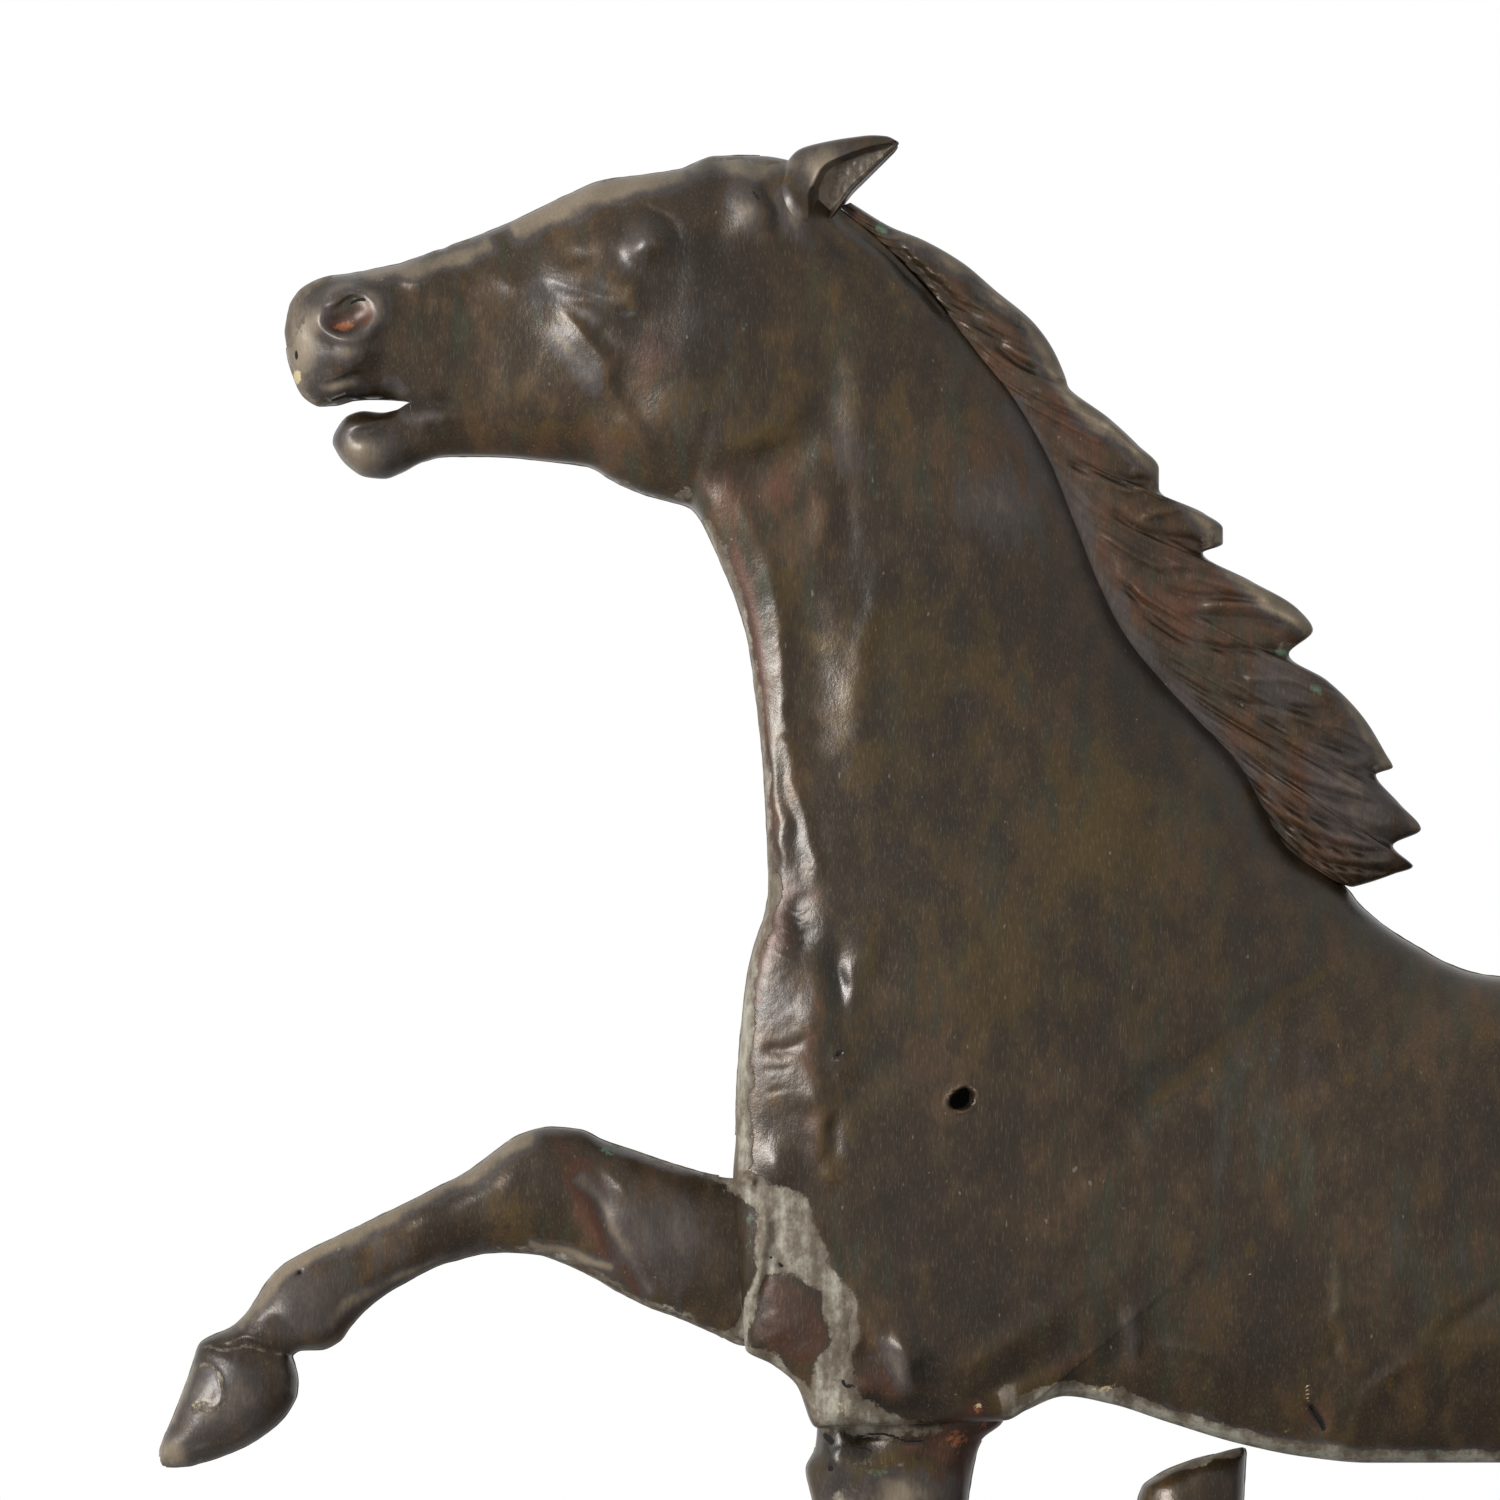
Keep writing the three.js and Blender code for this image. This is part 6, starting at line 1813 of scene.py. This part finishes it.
@dataclass
class Ears:
    """Two ears: a rounded back in front, and a dished opening behind and below it."""

    finishes: Finishes
    rows: int = 120
    columns: int = 120
    root_stand: float = 0.009
    tip_stand: float = 0.0125
    ribs: tuple[Rib, ...] = (
        (806, 252, 760, 204, 25), (812, 246, 768, 196, 27), (843, 206, 799, 151, 25),
        (853, 193, 825, 143.5, 22), (865, 181, 852, 139, 18), (877, 169, 872, 137, 13),
        (889, 157, 886, 138, 8), (896.5, 149, 895, 142, 3), (898.5, 145.5, 898, 144, 0.5),
    )
    rim: tuple[float, ...] = (812, 188, 823, 168, 849, 155, 874, 147, 889, 144)
    lip: float = 1.2
    lip_width: float = 2.5
    dished: float = 0.88
    roughness: float = 0.4

    def build(self) -> None:
        """Builds both ears, each as an outer and an inner half."""
        sheet = FormedSheet(RibTable(self.ribs), 2.2, wobble=0.3)
        shares = np.linspace(0, 1, self.rows)
        for side in Side:
            outer = sheet.raise_grid(shares, self.columns, side)
            inner = sheet.raise_grid(shares, self.columns // 3, side.other)
            outer.lean = side.value * (self.root_stand + (self.tip_stand - self.root_stand) * shares)
            inner.lean = outer.lean
            self.dish(outer)
            for grid, half in ((outer, "outside"), (inner, "inside")):
                piece = grid.mesh(f"ear_{side.word}_{half}")
                dress(piece, self.finishes.patina, "aged_copper", f"ear_{side.word}")

    def dish(self, grid: SheetGrid) -> None:
        """Sinks the opening behind the ear's rim line to a rough ground, and raises a thin lip along it."""
        near, _, hand = nearest_on(smooth_line(pairs(self.rim), 25), grid.x, grid.y)
        from_edge = np.hypot(grid.x - grid.x[:, :1], grid.y - grid.y[:, :1])
        behind = eased(near / 7) * (hand > 0)
        inside = behind * eased((from_edge - 2) / 5) * eased((grid.x - 806) / 14)
        lip = self.lip * np.exp(-((near / self.lip_width) ** 2))
        grid.height = np.maximum(grid.height * (1 - self.dished * inside) + lip, 0)
        grid.height = np.maximum(grid.height + self.roughness * ripple(grid.x, grid.y, 9, 31) * inside, 0)
        grid.marks[Mark.GREY_FILM_AND_SHEEN] = np.maximum(grid.marks[Mark.GREY_FILM_AND_SHEEN], 1.7 * inside)
        grid.marks[Mark.SOLDER] = np.maximum(grid.marks[Mark.SOLDER], 0.40 * inside)
        # Painted shade inside the ear's lip
        grid.marks[Mark.PAINTED_SHADE] = 0.4 * inside * np.exp(-((near / 7) ** 2))


@dataclass
class SeamBeads:
    """Solder along the outlines where the halves meet, as one lumpy bead for each stretch."""

    finishes: Finishes
    body: FormedSheet
    legs: tuple[Leg, ...]
    radius: float = 0.00030
    beading: float = 0.14
    swelling: float = 0.25
    thinnest: float = 0.3
    body_start: float = 0.004
    leg_start: float = 0.04
    leg_end: float = 0.995

    def build(self) -> None:
        """Builds the beads of the body and those of the legs."""
        table = self.body.table
        made = []
        # From rib to rib along the upper edge, whose x is column 2, or the lower one, whose x is column 0.
        # The first rib itself is left out, because the body is only a point there
        for start, end, column, count in (
            (0, NECK_START - 1, 2, 500),
            (0, len(BODY_HEAD), 0, 160),
            (CHEEK_START - 1, NECK_END, 0, 900),
            (BARREL_START, HIND_START, 0, 620),
            (NECK_END, RUMP_START - 1, 2, 500),
        ):
            first = max(self.body_start, table.share_of(start))
            rows = table.rows(np.linspace(first, table.share_of(end), count))
            made.append(self.bead(rows[:, column], rows[:, column + 1], np.zeros(count)))
        self.piece("body_seam_solder", made)
        made = []
        for leg in self.legs:
            sheet = leg.sheet()
            shares = np.linspace(self.leg_start, self.leg_end, 420)
            rows = sheet.table.rows(shares)
            for column in (0, 2):
                made.append(self.bead(rows[:, column], rows[:, column + 1], sheet.lean(shares)))
        self.piece("leg_seam_solder", made)

    def bead(self, x: np.ndarray, y: np.ndarray, lean: np.ndarray) -> tuple[np.ndarray, np.ndarray]:
        """Returns one bead whose radius swells and shrinks along it."""
        radii = self.radius * (1 + self.beading * ripple(x, y, 15, 41) + self.swelling * ripple(x, y, 44, 43))
        return swept_bead(PHOTO.place(x, y, lean), np.maximum(radii, self.thinnest * self.radius))

    def piece(self, name: str, made: list[tuple[np.ndarray, np.ndarray]]) -> None:
        """Joins beads into one piece."""
        starts = np.cumsum([0] + [len(points) for points, _ in made[:-1]])
        faces = np.vstack([part + start for (_, part), start in zip(made, starts)])
        piece = make_piece(name, np.vstack([points for points, _ in made]), faces)
        dress(piece, self.finishes.solder, "aged_copper")


@dataclass
class Hardware:
    """The spindle, its foot and the bearing, whose solids are kept and given their own metals."""

    finishes: Finishes

    def dress(self) -> None:
        """Assigns a metal to each carried-over solid."""
        for metal, names in (
            (self.finishes.iron, "spindle_rod roof_flange flange_set_screw"),
            (self.finishes.steel, "thrust_ball"),
            (self.finishes.brass, "spindle_tube bearing_cap lower_bushing upper_brace lower_brace"),
        ):
            for name in names.split():
                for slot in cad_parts[name].material_slots:
                    slot.material = metal
                log.info("%s: %s", name, metal.name)


# The studio


@dataclass(frozen=True)
class Lamp:
    """One area lamp that faces the middle of the figure."""

    name: str
    place: Place
    watts: float
    width: float
    height: float
    aim: Place = (-0.15, 0.0, 0.5)

    def hang(self) -> None:
        """Hangs the lamp where the camera can't see it."""
        data = bpy.data.lights.new(self.name, "AREA")
        data.shape, data.size, data.size_y, data.energy = "RECTANGLE", self.width, self.height, self.watts
        lamp = bpy.data.objects.new(self.name, data)
        lamp.location = self.place
        aim = Vector(self.aim) - lamp.location
        lamp.rotation_euler = aim.to_track_quat("-Z", "Y").to_euler()
        lamp.visible_camera = False
        bpy.context.scene.collection.objects.link(lamp)


@dataclass
class Studio:
    """Camera, lamps, white surroundings and floor."""

    distance: float = 4.0
    sensor: float = 36.0
    lamps: tuple[Lamp, ...] = (
        Lamp("key_lamp", (-2.49, -2.11, 1.06), 122.0, 0.75, 0.75),
        Lamp("side_lamp", (-3.1, -0.7, 1.2), 11.0, 1.0, 1.4),
        Lamp("fill_lamp", (2.6, -2.6, 1.2), 1.0, 1.6, 1.6),
    )
    room_strength: float = 0.14
    floor_reach: float = 3.0
    floor_depth: float = 0.0005
    floor_plain: float = 0.7
    floor_white: float = 1.8

    def build_camera(self) -> None:
        """Sets the photograph's camera: level, along +Y, with the picture's width at the middle plane."""
        width = PHOTO.width_pixels * PHOTO.pixel
        data = bpy.data.cameras.new("photo_camera")
        data.sensor_width = self.sensor
        data.lens = self.sensor * self.distance / width
        camera = bpy.data.objects.new("photo_camera", data)
        middle = PHOTO.place(np.array(PHOTO.middle_pixel), np.array(PHOTO.middle_pixel), np.array(0.0))
        camera.location = (float(middle[0]), -self.distance, float(middle[2]))
        camera.rotation_euler = (math.pi / 2, 0.0, 0.0)
        bpy.context.scene.collection.objects.link(camera)
        bpy.context.scene.camera = camera

    def build_world(self) -> None:
        """Makes the surroundings white for the camera and for reflections, and dimmer for diffuse light."""
        world = bpy.data.worlds.new("white_room")
        bpy.context.scene.world = world
        world.use_nodes = True
        board = NodeBoard(world.node_tree)
        light = next(node for node in board.tree.nodes if node.type == "BACKGROUND")
        seen = self.seen(board)
        board.feed(light, "Color", (1.0, 1.0, 1.0))
        board.feed(light, "Strength", board.blend_numbers(seen, self.room_strength, 1.0))

    @staticmethod
    def seen(board: NodeBoard) -> Socket:
        """Returns 1 on camera, glossy and transmission rays."""
        path = board.add("ShaderNodeLightPath")
        glossy = board.math("MAXIMUM", path.outputs["Is Camera Ray"], path.outputs["Is Glossy Ray"])
        return board.math("MAXIMUM", glossy, path.outputs["Is Transmission Ray"])

    def build_floor(self) -> None:
        """Lays a plain pale floor that keeps the object's shadow and turns white away from it."""
        r = self.floor_reach
        mesh = bpy.data.meshes.new("floor")
        mesh.from_pydata([(-r, -r, 0), (r, -r, 0), (r, r, 0), (-r, r, 0)], [], [(0, 1, 2, 3)])
        floor = bpy.data.objects.new("floor", mesh)
        floor.location = (0.0, 0.0, -self.floor_depth)
        bpy.context.scene.collection.objects.link(floor)
        material, board, shader = new_material("pale_floor")
        length = board.add("ShaderNodeVectorMath", operation="LENGTH")
        board.feed(length, 0, board.place())
        away = board.band(length.outputs["Value"], self.floor_plain, self.floor_white)
        board.feed(shader, "Base Color", (0.80, 0.80, 0.80))
        board.feed(shader, "Roughness", 0.9)
        board.feed(shader, "Specular IOR Level", 0.0)
        board.feed(shader, "Emission Color", (1.0, 1.0, 1.0))
        glow = board.add("ShaderNodeEmission")
        blend = board.add("ShaderNodeMixShader")
        board.feed(blend, 0, board.times(away, self.seen(board)))
        board.feed(blend, 1, shader.outputs[0])
        board.feed(blend, 2, glow.outputs[0])
        output = next(node for node in board.tree.nodes if node.type == "OUTPUT_MATERIAL")
        board.feed(output, "Surface", blend.outputs[0])
        mesh.materials.append(material)

    def build(self) -> None:
        """Builds the lamps, the surroundings and the floor."""
        for lamp in self.lamps:
            lamp.hang()
        self.build_world()
        self.build_floor()
        bpy.context.scene.view_settings.view_transform = "Standard"


def main() -> None:
    """Builds the vane's pieces in order."""
    logging.basicConfig(level=logging.INFO, format="%(name)s: %(message)s")
    studio = Studio()
    studio.build_camera()
    finishes = Finishes.build()
    body = HorseBody(finishes)
    legs = (
        Leg("left_foreleg", body.raised_leg, True, (1.0, 0.0), -0.010, RAISED_LEG, finishes),
        Leg("right_foreleg", body.folded_leg, False, (0.0, -1.0), 0.010, FOLDED_LEG, finishes,
            fullness=2.3, wobble=1.6),
        Leg("right_hind_leg", body.far_hind, False, (0.37, -0.93), 0.012, FAR_HIND_LEG, finishes, 200, 64),
        Leg("left_hind_leg", body.near_hind, False, (-0.7, -0.7), -0.012, NEAR_HIND_LEG, finishes, 200, 64),
    )
    body.build()
    Jaw(finishes).build()
    Mane(finishes).build()
    Ears(finishes).build()
    Tail(finishes).build()
    for leg in legs:
        leg.build()
    SeamBeads(finishes, body.sheet(), legs).build()
    Hardware(finishes).dress()
    studio.build()


if __name__ == "__main__":
    main()
